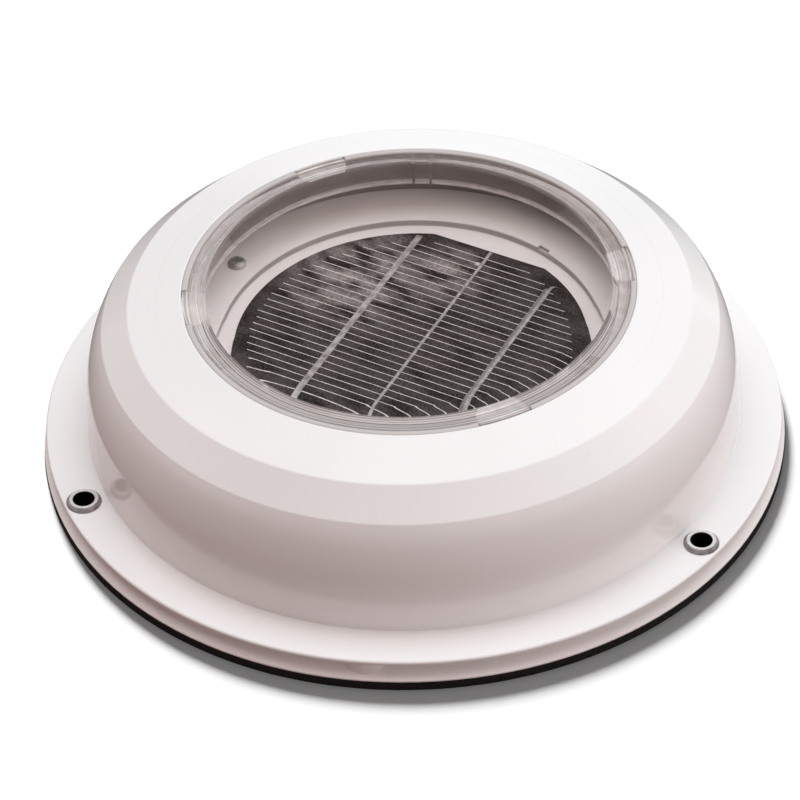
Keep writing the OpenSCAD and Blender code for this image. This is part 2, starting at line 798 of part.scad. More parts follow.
// Three-pole stack of sheets on the shaft
module armature_core() {
    slot_w = 3.6;
    slot_r = core_r - pole_t;
    core_d = 2 * core_r;
    color("#7d7f83") translate([0, 0, core_z]) linear_extrude(height = core_top_z - core_z) difference() {
        circle(r = core_r);
        circle(r = shaft_r + fit);
        around(pole_count, 180 / pole_count) {
            translate([arm_w, -slot_w / 2]) square([core_r, slot_w]);
            intersection() {
                difference() {
                    circle(r = slot_r);
                    circle(r = arm_w);
                }
                rotate(-180 / pole_count) translate([-core_r, arm_w / 2]) square([core_d, core_r]);
                rotate(180 / pole_count) translate([-core_r, -core_r - arm_w / 2]) square([core_d, core_r]);
            }
        }
    }
}

// One wound block round each arm of the stack
module armature_windings() {
    turns_t = 1.2;
    pole_gap = 0.6;
    from_r = arm_w + ease;
    to_r = core_r - pole_t - pole_gap;
    color("#b5651d") around(pole_count) difference() {
        translate([from_r, -arm_w / 2 - turns_t, core_z - winding_over])
            cube([to_r - from_r, arm_w + 2 * turns_t, core_top_z - core_z + 2 * winding_over]);
        translate([from_r - bite, -arm_w / 2 - fit, core_z - fit])
            cube([to_r - from_r + 2 * bite, arm_w + 2 * fit, core_top_z - core_z + 2 * fit]);
    }
}

// Ring with a slit between its segments
module commutator() {
    slit_w = 0.3;
    slit_depth = 0.8;
    color("#b87333") difference() {
        ring(shaft_r + fit, commutator_r, commutator_z, commutator_z + commutator_l);
        around(pole_count, 180 / pole_count)
            translate([commutator_r - slit_depth, -slit_w / 2, commutator_z - bite])
                cube([slit_depth + bite, slit_w, commutator_l + 2 * bite]);
    }
}

// One blade: a strip of a cone shell whose crest lies level at the trailing edge.
// The cone opens outwards, so the blade is steep at the hub and flat at its tip.
module blade() {
    reach = tip_r - blade_apex + blade_tip_curve;
    inner_shift = blade_t / sin(blade_half_angle);
    intersection() {
        difference() {
            translate([blade_apex, 0, blade_top_z]) rotate([0, 90 + blade_half_angle, 0])
                cylinder(h = reach, r1 = 0, r2 = reach * blade_slope);
            translate([blade_apex, 0, blade_top_z]) rotate([0, 90 + blade_half_angle, 0])
                translate([0, 0, inner_shift]) cylinder(h = reach, r1 = 0, r2 = reach * blade_slope);
        }
        ring(hub_r - hub_wall / 2, tip_r, fan_z + blade_lift, blade_top_z);
        translate([0, 0, fan_z]) cube([duct_d, duct_d, blade_h]);
    }
}

// Cup hub over the motor, with the blades round it
module fan() {
    color("#e4e1dd") difference() {
        union() {
            revolved([
                [0, fan_z, 0], [hub_r, fan_z, 2.4], [hub_r, hub_top_z, 0.5], [hub_in_r, hub_top_z, 0.5],
                [hub_in_r, hub_floor_z, 1], [hub_boss_r, hub_floor_z, 0], [hub_boss_r, hub_boss_z, 0.3],
                [0, hub_boss_z, 0]
            ]);
            around(blade_count) blade();
        }
        bar(shaft_r + fit / 2, fan_z - bite, hub_boss_z + bite);
    }
}

// Grille across the duct's mouth, with slots too narrow for insects
module insect_screen() {
    border_off_duct = 1;
    slots_r = duct_r + border_off_duct;
    color("#8b8d8c") translate([0, 0, screen_z]) linear_extrude(height = screen_t) {
        flat_ring(slots_r, screen_r);
        for (r = [2 * screen_pitch : screen_pitch : slots_r])
            flat_ring(r - screen_bar / 2, r + screen_bar / 2);
        around(spoke_count) translate([0, -spoke_w / 2]) square([slots_r + bite, spoke_w]);
        circle(r = screen_pitch + screen_bar / 2);
    }
}

// Ring under the screen, with finger notches to pull it out
module screen_ring() {
    notch_r = 4;
    notch_count = 3;
    notch_angle = 30;
    notch_depth = 1;
    color("#e9e3e2") difference() {
        revolved([
            [screen_ring_in_r, screen_ring_low_z, 0.6], [screen_r, screen_ring_low_z, 0.4],
            [screen_r, screen_z, 0], [screen_ring_in_r, screen_z, 0]
        ]);
        around(notch_count, notch_angle)
            bar(notch_r, screen_ring_low_z - bite, screen_ring_low_z + notch_depth, screen_ring_in_r);
    }
}

roof_gasket();
base_ring();
cover();
eyelets();
lens();
lens_seal();
deck();
deck_screws();
solar_cell();
tab_ribbons();
centre_ribbon();
positive_lead();
negative_lead();
motor_can();
motor_end_cap();
motor_magnets();
motor_brushes();
motor_terminals();
front_bush();
rear_bush();
motor_retainer();
motor_screws();
motor_shaft();
armature_core();
armature_windings();
commutator();
fan();
insect_screen();
screen_ring();
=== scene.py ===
import json
import math

import bmesh
import bpy
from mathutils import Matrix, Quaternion, Vector

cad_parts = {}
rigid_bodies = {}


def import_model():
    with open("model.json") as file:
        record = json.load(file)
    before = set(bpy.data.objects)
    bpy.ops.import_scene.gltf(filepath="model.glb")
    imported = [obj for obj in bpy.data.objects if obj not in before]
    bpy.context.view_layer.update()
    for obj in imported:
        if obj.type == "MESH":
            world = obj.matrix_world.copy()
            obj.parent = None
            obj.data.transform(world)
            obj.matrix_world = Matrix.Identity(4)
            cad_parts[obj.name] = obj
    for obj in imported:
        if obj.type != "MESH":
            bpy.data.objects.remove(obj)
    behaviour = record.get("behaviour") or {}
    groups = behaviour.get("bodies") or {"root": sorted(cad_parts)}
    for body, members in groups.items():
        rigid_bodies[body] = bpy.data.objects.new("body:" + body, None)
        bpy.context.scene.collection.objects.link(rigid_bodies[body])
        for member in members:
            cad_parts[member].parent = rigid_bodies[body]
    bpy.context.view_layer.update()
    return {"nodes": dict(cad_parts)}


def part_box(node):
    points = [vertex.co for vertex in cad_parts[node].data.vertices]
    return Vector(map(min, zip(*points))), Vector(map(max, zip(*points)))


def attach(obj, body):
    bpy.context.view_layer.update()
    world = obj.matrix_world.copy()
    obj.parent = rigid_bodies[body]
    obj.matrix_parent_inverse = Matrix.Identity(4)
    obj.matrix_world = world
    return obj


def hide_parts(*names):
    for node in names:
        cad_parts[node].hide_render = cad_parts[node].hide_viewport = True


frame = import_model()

mm = 0.001
upAxis = Vector((0, 0, 1))
backAxis = Vector((0, 1, 0))
sameSpot = 0.001  # places closer than this, in millimetres, are one corner
holeSides = 65  # odd, so that a round cutter's corners miss the radial edges of what it cuts


def boxOf(node):
    # Corners of a CAD node, in millimetres
    low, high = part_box(node)
    return low / mm, high / mm


# Modelling helpers


def deselectAll():
    bpy.ops.object.select_all(action="DESELECT")


def makeActive(piece):
    deselectAll()
    piece.select_set(True)
    bpy.context.view_layer.objects.active = piece


def enterEdit(piece):
    makeActive(piece)
    bpy.ops.object.mode_set(mode="EDIT")


def leaveEdit():
    bpy.ops.object.mode_set(mode="OBJECT")


def startPiece(name):
    # An empty piece, left open in edit mode: its first plane is deleted
    deselectAll()
    bpy.ops.mesh.primitive_plane_add(size=mm)
    piece = bpy.context.object
    piece.name = name
    piece.data.name = name
    enterEdit(piece)
    pickAll()
    bpy.ops.mesh.delete(type="VERT")
    return piece


def pickAll():
    bpy.ops.mesh.select_all(action="SELECT")


def pickNone(kind):
    bpy.ops.mesh.select_mode(type=kind)
    bpy.ops.mesh.select_all(action="DESELECT")


def drawLine(points):
    # Extrudes one new vertex along points in millimetres
    pickNone("VERT")
    bpy.ops.mesh.primitive_plane_add(size=mm, location=points[0] * mm)
    bpy.ops.mesh.merge(type="CENTER")
    for before, after in zip(points, points[1:]):
        bpy.ops.mesh.extrude_vertices_move(TRANSFORM_OT_translate={"value": (after - before) * mm})


def extrudeEdges(step):
    bpy.ops.mesh.extrude_edges_move(TRANSFORM_OT_translate={"value": step * mm})


def extrudeFaces(step):
    bpy.ops.mesh.extrude_region_move(TRANSFORM_OT_translate={"value": step * mm})


def pickVerts(piece, test):
    pickNone("VERT")
    form = bmesh.from_edit_mesh(piece.data)
    for vert in form.verts:
        vert.select_set(test(vert.co / mm))
    form.select_flush(True)
    bmesh.update_edit_mesh(piece.data)


def pickFaces(piece, test):
    pickNone("FACE")
    form = bmesh.from_edit_mesh(piece.data)
    for face in form.faces:
        face.select_set(test(face.calc_center_median() / mm, face.normal))
    bmesh.update_edit_mesh(piece.data)


def turnedPiece(name, corners, closed, steps, roundSteps=8):
    # Draws a section from (radius, height, rounding) corners, rounds them and spins it
    piece = startPiece(name)
    places = [Vector((radius, 0, height)) for radius, height, rounding in corners]
    drawLine(places)
    if closed:
        pickVerts(piece, lambda co: min((co - places[0]).length, (co - places[-1]).length) < sameSpot)
        bpy.ops.mesh.edge_face_add()
    for i, (radius, height, rounding) in enumerate(corners):
        if rounding:
            before = places[i - 1] - places[i]
            after = places[(i + 1) % len(places)] - places[i]
            setback = rounding / math.tan(before.angle(after) / 2)
            pickVerts(piece, lambda co: (co - places[i]).length < sameSpot)
            bpy.ops.mesh.bevel(affect="VERTICES", offset=setback * mm, segments=roundSteps)
    pickAll()
    bpy.ops.mesh.spin(steps=steps, angle=2 * math.pi, center=(0, 0, 0), axis=upAxis)
    mergeDoubles()
    leaveEdit()
    return piece


def mergeDoubles():
    pickAll()
    bpy.ops.mesh.remove_doubles(threshold=2 * sameSpot * mm)
    bpy.ops.mesh.normals_make_consistent(inside=False)


def applyModifier(piece, kind, **settings):
    modifier = piece.modifiers.new(kind.lower(), kind)
    for setting, value in settings.items():
        setattr(modifier, setting, value)
    makeActive(piece)
    bpy.ops.object.modifier_apply(modifier=modifier.name)


def cutAway(piece, cutter):
    applyModifier(piece, "BOOLEAN", operation="DIFFERENCE", solver="EXACT", object=cutter)
    bpy.data.objects.remove(cutter)


def postsAt(places, radius, low, high):
    # Upright round cutters, in one piece
    cutter = startPiece("cutter")
    for place in places:
        bpy.ops.mesh.primitive_cylinder_add(
            vertices=holeSides, radius=radius * mm, depth=(high - low) * mm,
            location=Vector((place.x, place.y, (low + high) / 2)) * mm)
    leaveEdit()
    return cutter


def blocksAt(angles, radius, size, height):
    # Box cutters turned to face the axis, in one piece
    cutter = startPiece("cutter")
    for angle in angles:
        middle = polar(radius, angle, height)
        bpy.ops.mesh.primitive_cube_add(
            size=mm, location=middle * mm, rotation=(0, 0, math.radians(angle)), scale=size)
    leaveEdit()
    return cutter


def polar(radius, angle, height=0.0):
    turn = math.radians(angle)
    return Vector((radius * math.cos(turn), radius * math.sin(turn), height))


def angleOff(co, angle):
    # How far a place lies from a direction round the axis, in degrees
    off = math.degrees(math.atan2(co.y, co.x)) - angle
    return abs((off + 180) % 360 - 180)


def smoothPiece(piece, sharpAngle):
    makeActive(piece)
    bpy.ops.object.shade_smooth_by_angle(angle=math.radians(sharpAngle))
    applyModifier(piece, "WEIGHTED_NORMAL", keep_sharp=True)


def finishPiece(piece, finish, nodes=()):
    piece.data.materials.clear()
    piece.data.materials.append(finish)
    if nodes:
        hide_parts(*nodes)
    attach(piece, "housing")


# Material helpers: every pattern reads the piece's own Object coordinates


def newFinish(name):
    finish = bpy.data.materials.new(name)
    finish.use_nodes = True
    return finish, finish.node_tree, finish.node_tree.nodes["Principled BSDF"]


def herePoint(tree):
    return tree.nodes.new("ShaderNodeTexCoord").outputs["Object"]


def placeOf(tree, stretch=(1, 1, 1), turn=0.0):
    # Object coordinates, stretched along axes that are turned about Z
    mapping = tree.nodes.new("ShaderNodeMapping")
    mapping.vector_type = "TEXTURE"
    mapping.inputs["Rotation"].default_value = (0, 0, math.radians(turn))
    mapping.inputs["Scale"].default_value = [1 / share for share in stretch]
    tree.links.new(herePoint(tree), mapping.inputs["Vector"])
    return mapping.outputs["Vector"]


def grain(tree, size, detail=3.0, stretch=(1, 1, 1), turn=0.0):
    # Noise whose features are about this many millimetres across
    noise = tree.nodes.new("ShaderNodeTexNoise")
    noise.inputs["Scale"].default_value = 1 / (size * mm)
    noise.inputs["Detail"].default_value = detail
    tree.links.new(placeOf(tree, stretch, turn), noise.inputs["Vector"])
    return noise.outputs["Fac"]


def rings(tree, size):
    # Noise that changes only with the distance from the axis, as fine concentric streaks
    noise = tree.nodes.new("ShaderNodeTexNoise")
    noise.noise_dimensions = "1D"
    noise.inputs["Scale"].default_value = 1 / (size * mm)
    tree.links.new(fromAxis(tree), noise.inputs["W"])
    return noise.outputs["Fac"]


def cells(tree, size):
    # Distance to the nearest of scattered points
    voronoi = tree.nodes.new("ShaderNodeTexVoronoi")
    voronoi.inputs["Scale"].default_value = 1 / (size * mm)
    tree.links.new(placeOf(tree), voronoi.inputs["Vector"])
    return voronoi.outputs["Distance"]


def tone(tree, value, low, high, dark, light):
    # Colour that goes from dark to light as the value goes from low to high
    ramp = tree.nodes.new("ShaderNodeValToRGB")
    ramp.color_ramp.elements[0].position = low
    ramp.color_ramp.elements[0].color = (*dark, 1)
    ramp.color_ramp.elements[1].position = high
    ramp.color_ramp.elements[1].color = (*light, 1)
    tree.links.new(value, ramp.inputs["Fac"])
    return ramp.outputs["Color"]


def spread(tree, value, low, high, start=0.3, end=0.7):
    # Goes from low to high as the value goes from start to end
    ranged = tree.nodes.new("ShaderNodeMapRange")
    ranged.inputs["From Min"].default_value = start
    ranged.inputs["From Max"].default_value = end
    ranged.inputs["To Min"].default_value = low
    ranged.inputs["To Max"].default_value = high
    tree.links.new(value, ranged.inputs["Value"])
    return ranged.outputs["Result"]


def blendColours(tree, share, first, second):
    mix = tree.nodes.new("ShaderNodeMix")
    mix.data_type = "RGBA"
    tree.links.new(share, mix.inputs["Factor"])
    tree.links.new(first, mix.inputs["A"])
    tree.links.new(second, mix.inputs["B"])
    return mix.outputs["Result"]


def vectorStep(tree, kind, value, fixed, output="Value"):
    step = tree.nodes.new("ShaderNodeVectorMath")
    step.operation = kind
    step.inputs[1].default_value = fixed
    tree.links.new(value, step.inputs[0])
    return step.outputs[output]


def ramped(tree, distance, start, end, first=0, last=1):
    # Goes from the first value to the last between two distances in millimetres
    return spread(tree, distance, first, last, start * mm, end * mm)


def nearness(tree, place, inner, outer):
    # One within the inner distance of a place, nought past the outer one
    return ramped(tree, vectorStep(tree, "DISTANCE", herePoint(tree), place * mm), inner, outer, 1, 0)


def fromAxis(tree, place=Vector((0, 0, 0))):
    # Distance from an upright axis, in metres
    flat = vectorStep(tree, "MULTIPLY", herePoint(tree), (1, 1, 0), "Vector")
    return vectorStep(tree, "DISTANCE", flat, place * mm)


def distanceAlong(tree, direction):
    # How far a place lies from the origin in one direction, in metres
    return vectorStep(tree, "DOT_PRODUCT", herePoint(tree), direction)


def combine(tree, kind, first, *others):
    # Takes any number of values or sockets together, two at a time
    for other in others:
        sums = tree.nodes.new("ShaderNodeMath")
        sums.operation = kind
        for value, socket in zip((first, other), sums.inputs):
            if isinstance(value, (int, float)):
                socket.default_value = value
            else:
                tree.links.new(value, socket)
        first = sums.outputs["Value"]
    return first


def paint(tree, shader, colour, roughness):
    tree.links.new(colour, shader.inputs["Base Color"])
    tree.links.new(roughness, shader.inputs["Roughness"])


def mixShaders(tree, share, first, second):
    mix = tree.nodes.new("ShaderNodeMixShader")
    tree.links.new(share, mix.inputs["Fac"])
    tree.links.new(first, mix.inputs[1])
    tree.links.new(second, mix.inputs[2])
    return mix.outputs["Shader"]


def showSurface(tree, surface):
    tree.links.new(surface, tree.nodes["Material Output"].inputs["Surface"])


def addBump(tree, shader, height, depth, strength=1.0):
    # Depth is in millimetres
    bump = tree.nodes.new("ShaderNodeBump")
    bump.inputs["Strength"].default_value = strength
    bump.inputs["Distance"].default_value = depth * mm
    tree.links.new(height, bump.inputs["Height"])
    tree.links.new(bump.outputs["Normal"], shader.inputs["Normal"])


def scaled(colour, share):
    return [channel * share for channel in colour]


def plasticFinish(name, colour, roughness, peelSize, peelDepth, mottle=0.03):
    finish, tree, shader = newFinish(name)
    paint(tree, shader,
          tone(tree, grain(tree, 18), 0.3, 0.7, scaled(colour, 1 - mottle), colour),
          spread(tree, grain(tree, 5), 0.85 * roughness, 1.2 * roughness))
    addBump(tree, shader, grain(tree, peelSize), peelDepth)
    shader.inputs["IOR"].default_value = 1.5
    return finish


def metalFinish(name, colour, roughness, brushSize, stretch=(1, 1, 1), tarnish=0.25, metallic=1.0):
    finish, tree, shader = newFinish(name)
    brush = grain(tree, brushSize, 4.0, stretch)
    paint(tree, shader,
          tone(tree, grain(tree, 4), 0.35, 0.65, scaled(colour, 1 - tarnish), colour),
          spread(tree, brush, 0.7 * roughness, 1.4 * roughness))
    addBump(tree, shader, brush, 0.01, 0.4)
    shader.inputs["Metallic"].default_value = metallic
    return finish


# Cover: flange, wall with a rounded top, bevel and crown, with the neck and skirt under the crown

coverShape = {
    "flangeThickness": 1.6,
    "flangeWidth": 12.3,
    "wallHeight": 33.2,
    "wallRun": 6.2,
    "footLean": 3,
    "topLean": 30,
    "bevelHeight": 7.4,
    "bevelRun": 8.0,
    "wall": 2.2,
    "neckHeight": 2.0,
    "neckWall": 1.5,
    "skirtWall": 2.2,
    "lipRound": 0.75,
    "footRound": 0.35,
    "edgeRound": 1.6,
    "rimRound": 0.4,
    "innerRound": 0.6,
    "skirtRound": 0.2,
    "roundSteps": 12,
    "eyeletHole": 3.6,
    "steps": 256,
}


def glossWhite():
    # Polished moulding with a faint peel and a few dark specks, and painted shade: grey inside the skirt,
    # most at the rear
    colour = (0.86, 0.848, 0.848)
    ledge = boxOf("lens_seal")[0].z
    skirtOut = boxOf("deck")[1].x
    finish, tree, shader = newFinish("glossWhite")
    plain = tone(tree, grain(tree, 40), 0.3, 0.7, scaled(colour, 0.975), colour)
    specks = spread(tree, cells(tree, 9), 1, 0, 0.012, 0.022)
    speckTone = tone(tree, grain(tree, 3), 0.4, 0.6, scaled(colour, 0.6), scaled(colour, 0.9))
    outside = blendColours(tree, specks, plain, speckTone)
    # Painted shade inside the skirt, under the crown and below the ledge, strongest at the rear
    within = ramped(tree, fromAxis(tree), skirtOut - 0.6, skirtOut - 0.2, 1, 0)
    below = ramped(tree, distanceAlong(tree, upAxis), ledge - 0.8, ledge - 0.3, 1, 0)
    shadeTowardsRear = ramped(tree, distanceAlong(tree, backAxis), -30, 15, 0.25, 1)
    inside = combine(tree, "MULTIPLY", within, below, shadeTowardsRear)
    paintedShade = tone(tree, grain(tree, 3), 0.3, 0.7, (0.26, 0.226, 0.22), (0.32, 0.28, 0.272))
    paint(tree, shader, blendColours(tree, inside, outside, paintedShade),
          spread(tree, grain(tree, 12), 0.09, 0.15))
    addBump(tree, shader, grain(tree, 5, 1.0), 0.02, 0.25)
    shader.inputs["IOR"].default_value = 1.52
    return finish


def innerCorner(before, corner, after, wall):
    # The corner's place on the inside of an even wall
    sides = []
    for run in (corner - before, after - corner):
        along = run.normalized()
        sides.append(Vector((-along.y, along.x)))
    return corner + wall * (sides[0] + sides[1]) / (1 + sides[0].dot(sides[1]))


def makeCover(finish):
    shape = coverShape
    low, high = boxOf("cover")
    sealLow, sealHigh = boxOf("lens_seal")
    deckHigh = boxOf("deck")[1]
    wall = shape["wall"]
    flangeLow = low.z
    foot = Vector((high.x - shape["flangeWidth"], flangeLow + shape["flangeThickness"]))
    shoulder = foot + Vector((-shape["wallRun"], shape["wallHeight"]))
    footSlope = math.tan(math.radians(shape["footLean"]))
    topSlope = math.tan(math.radians(shape["topLean"]))
    bellyRise = (shape["wallHeight"] * topSlope - shape["wallRun"]) / (topSlope - footSlope)
    belly = foot + bellyRise * Vector((-footSlope, 1))
    turn = math.radians(shape["topLean"] - shape["footLean"])
    bellyRound = ((shoulder - belly).length - shape["edgeRound"]) / math.tan(turn / 2)
    brim = shoulder + Vector((-shape["bevelRun"], shape["bevelHeight"]))
    edge = Vector((sealHigh.x, high.z))
    inBelly = innerCorner(foot, belly, shoulder, wall)
    inShoulder = innerCorner(belly, shoulder, brim, wall)
    inBrim = innerCorner(shoulder, brim, edge, wall)
    inFoot = inBelly.x + (inBelly.y - flangeLow) * footSlope
    crownSlope = (edge.y - brim.y) / (brim.x - edge.x)
    neck = lensRadius() + lensShape["clearance"]
    neckOut = edge.x + shape["neckWall"]
    neckLow = sealLow.z - shape["neckHeight"]
    skirtOut = deckHigh.x
    skirtIn = skirtOut - shape["skirtWall"]

    def crownUnder(radius):
        return inBrim.y + (inBrim.x - radius) * crownSlope

    cover = turnedPiece("cover.shell", [
        (high.x, flangeLow, shape["lipRound"]),
        (high.x, foot.y, shape["lipRound"]),
        (foot.x, foot.y, shape["footRound"]),
        (belly.x, belly.y, bellyRound),
        (shoulder.x, shoulder.y, shape["edgeRound"]),
        (brim.x, brim.y, shape["edgeRound"]),
        (edge.x, edge.y, shape["rimRound"]),
        (edge.x, sealLow.z, 0),
        (neck, sealLow.z, 0),
        (neck, neckLow, shape["skirtRound"]),
        (neckOut, neckLow, shape["skirtRound"]),
        (neckOut, crownUnder(neckOut), 0),
        (skirtIn, crownUnder(skirtIn), shape["innerRound"]),
        (skirtIn, deckHigh.z, shape["skirtRound"]),
        (skirtOut, deckHigh.z, shape["skirtRound"]),
        (skirtOut, crownUnder(skirtOut), shape["innerRound"]),
        (inBrim.x, inBrim.y, shape["innerRound"]),
        (inShoulder.x, inShoulder.y, shape["innerRound"]),
        (inBelly.x, inBelly.y, bellyRound - wall),
        (inFoot, flangeLow, 0),
    ], True, shape["steps"], shape["roundSteps"])
    past = 0.5  # how far the cutters reach past the faces that they open
    cutAway(cover, postsAt(eyeletPlaces(), shape["eyeletHole"], flangeLow - past, foot.y + past))
    reach = lensShape["lugReach"] + lensShape["clearance"]
    lug = Vector((reach, lensShape["lugWidth"] + 2 * lensShape["clearance"], lensShape["lugHeight"]))
    notch = lug + 2 * past * Vector((1, 0, 1))
    notchHeight = sealLow.z - lug.z / 2 + past
    cutAway(cover, blocksAt(lensShape["lugAngles"], neck + lug.x / 2 - past, notch, notchHeight))
    smoothPiece(cover, sharpAngle=35)
    finishPiece(cover, finish, ["cover"])
    print("cover modelled")


# Clear lens with its lugs and snap tongues

lensShape = {
    "beadWidth": 1.85,
    "clearance": 0.2,
    "wall": 2.0,
    "rimWall": 3.6,
    "stepWidth": 4.8,
    "stepRun": 1.6,
    "stepFall": 1.0,
    "stepRound": 0.3,
    "sagWidth": 2.4,
    "sagFall": 0.1,
    "sagRound": 100,
    "innerRound": 0.5,
    "footRound": 0.35,
    "lugAngles": (14.5, 194.5, 122, 302),
    "lugWidth": 15.5,
    "lugReach": 1.0,
    "lugOver": 0.5,
    "lugHeight": 1.2,
    "lugPlay": 0.1,
    "lugBelow": 0.15,
    "tongueAngles": (-26, 94, 214),
    "tongueWidth": 4.6,
    "slit": 0.7,
    "barbReach": 0.7,
    "barbHeight": 1.1,
    "roundSteps": 12,
    "steps": 192,
}


def lensRadius():
    return boxOf("lens_seal")[1].x - lensShape["beadWidth"]


def clearLens():
    # Clear acrylic. Painted highlights: bright patches on the lugs and a bright line along the foot.
    # Painted reflection: streaks round the rim, and more haze towards the front. Lamps and scattered light
    # pass straight through, trapped light ends in the haze
    radius = lensRadius()
    footLow = boxOf("lens")[0].z
    ledge = boxOf("lens_seal")[0].z
    lugLow = ledge - lensShape["lugHeight"]
    lugHalf = lensShape["lugWidth"] / 2
    step = radius - lensShape["stepWidth"]
    finish, tree, shader = newFinish("clearLens")
    shader.inputs["Base Color"].default_value = (0.985, 0.975, 0.97, 1)
    shader.inputs["IOR"].default_value = 1.49
    shader.inputs["Transmission Weight"].default_value = 1.0
    tree.links.new(spread(tree, grain(tree, 9), 0.0, 0.03, 0.45, 0.8), shader.inputs["Roughness"])
    addBump(tree, shader, grain(tree, 14, 1.0), 0.03, 0.2)
    through = tree.nodes.new("ShaderNodeBsdfTransparent")
    through.inputs["Color"].default_value = (0.96, 0.952, 0.95, 1)

    height = distanceAlong(tree, upAxis)
    onRim = ramped(tree, fromAxis(tree), step - 0.4, step, 0, 0.9)
    # Painted highlights: a bright line along the foot and bright patches over the lugs
    footGlint = ramped(tree, height, footLow + 0.4, footLow + 0.65, 0.9, 0)
    aboveLug = ramped(tree, height, lugLow, lugLow + 0.3)
    places = [polar(radius, angle, ledge) for angle in lensShape["lugAngles"]]
    nearLug = combine(tree, "MAXIMUM", *[nearness(tree, place, lugHalf - 0.3, lugHalf) for place in places])
    lugStreaks = spread(tree, rings(tree, 0.7), 0.25, 0.85)
    lugGlints = combine(tree, "MULTIPLY", onRim, aboveLug, nearLug, lugStreaks)
    paintedGlints = combine(tree, "MAXIMUM", footGlint, lugGlints)
    # Painted reflection: fine light and dark streaks round the rim
    reflectionStreaks = tone(tree, rings(tree, 0.45), 0.38, 0.62, (0.22, 0.193, 0.187), (0.7, 0.65, 0.64))
    glintTone = tone(tree, grain(tree, 4), 0.3, 0.7, (0.65, 0.61, 0.6), (0.98, 0.95, 0.94))
    haze = tree.nodes.new("ShaderNodeBsdfDiffuse")
    tree.links.new(blendColours(tree, paintedGlints, reflectionStreaks, glintTone), haze.inputs["Color"])

    path = tree.nodes.new("ShaderNodeLightPath")
    once = combine(tree, "GREATER_THAN", path.outputs["Glossy Depth"], 0.5)
    twice = combine(tree, "GREATER_THAN", path.outputs["Glossy Depth"], 1.5)
    # Hazier towards the front: a painted reflection in place of the light that the rim guides round from
    # its far side
    paintedRimReflection = ramped(tree, distanceAlong(tree, backAxis), -30, 10, 0.65, 0.2)
    rimHaze = combine(tree, "MULTIPLY", onRim, combine(tree, "MAXIMUM", once, paintedRimReflection))
    hazy = combine(tree, "MAXIMUM", twice, rimHaze, paintedGlints)
    glass = mixShaders(tree, hazy, shader.outputs["BSDF"], haze.outputs["BSDF"])
    straight = combine(tree, "MAXIMUM", path.outputs["Is Shadow Ray"], path.outputs["Is Diffuse Ray"])
    showSurface(tree, mixShaders(tree, straight, glass, through.outputs["BSDF"]))
    return finish


def makeLens(finish):
    shape = lensShape
    low, high = boxOf("lens")
    sealLow, sealHigh = boxOf("lens_seal")
    radius = lensRadius()
    inside = radius - shape["rimWall"]
    under = high.z - shape["wall"]
    rimTop = high.z - shape["stepFall"]
    step = radius - shape["stepWidth"]
    lugTop = sealLow.z - shape["lugPlay"]
    lugLow = sealLow.z - shape["lugHeight"]
    barbTop = sealLow.z - coverShape["neckHeight"] - shape["lugPlay"]
    barbLow = barbTop - shape["barbHeight"]
    lens = turnedPiece("lens.cap", [
        (0, under, 0),
        (inside, under, shape["innerRound"]),
        (inside, low.z, shape["footRound"]),
        (radius, low.z, shape["footRound"]),
        (radius, barbLow, 0),
        (radius, barbTop, 0),
        (radius, lugLow, 0),
        (radius, lugTop, 0),
        (radius, rimTop, shape["stepRound"]),
        (step + shape["stepRun"], rimTop, shape["stepRound"]),
        (step, high.z - shape["sagFall"], shape["stepRound"]),
        (step - shape["sagWidth"], high.z, shape["sagRound"]),
        (0, high.z, 0),
    ], False, shape["steps"], shape["roundSteps"])
    lugHalf = math.degrees(shape["lugWidth"] / 2 / radius)
    barbHalf = math.degrees(shape["tongueWidth"] / 2 / radius)
    growOut(lens, shape["lugAngles"], lugHalf, (lugLow, rimTop), shape["lugReach"])
    growOut(lens, shape["lugAngles"], lugHalf, (lugTop, rimTop), shape["lugOver"])
    growOut(lens, shape["tongueAngles"], barbHalf, (barbLow, barbTop), shape["barbReach"])
    slitTurn = math.degrees((shape["tongueWidth"] + shape["slit"]) / 2 / radius)
    slitAngles = [angle + side * slitTurn for angle in shape["tongueAngles"] for side in (-1, 1)]
    slitSize = (2 * shape["rimWall"], shape["slit"], sealLow.z - low.z)
    past = 1  # how far the slits' cutters reach below the foot
    middle = (sealLow.z + low.z) / 2 - past
    cutAway(lens, blocksAt(slitAngles, radius - shape["rimWall"] / 2, slitSize, middle))
    raiseLugs(lens, radius, rimTop - 2 * shape["stepRound"], sealHigh.z - rimTop - shape["lugBelow"])
    smoothPiece(lens, sharpAngle=35)
    finishPiece(lens, finish, ["lens"])
    print("lens modelled")


def growOut(piece, angles, halfAngle, heights, reach):
    # Extrudes stretches of the outer wall away from the axis
    enterEdit(piece)
    for angle in angles:
        def onPatch(co, normal):
            outward = normal.dot(Vector((co.x, co.y, 0)).normalized()) > 0.9
            return outward and heights[0] < co.z < heights[1] and angleOff(co, angle) < halfAngle
        pickFaces(piece, onPatch)
        bpy.ops.mesh.extrude_region_shrink_fatten(
            TRANSFORM_OT_shrink_fatten={"value": reach * mm, "use_even_offset": True})
    leaveEdit()


def raiseLugs(piece, radius, above, rise):
    # Extrudes the lugs' tops, the upward faces outside the wall, up to the bead
    def onTop(co, normal):
        outside = co.xy.length > radius + 0.05
        return outside and co.z > above and normal.z > 0.8

    enterEdit(piece)
    pickFaces(piece, onTop)
    extrudeFaces(upAxis * rise)
    leaveEdit()


# Bead between the lens and the crown

beadShape = {"width": 1.75, "footRound": 0.15, "topRound": 0.6, "notch": 4, "steps": 192}


def paleSeal():
    return plasticFinish("paleSeal", (0.56, 0.525, 0.515), 0.38, 1.2, 0.03, 0.06)


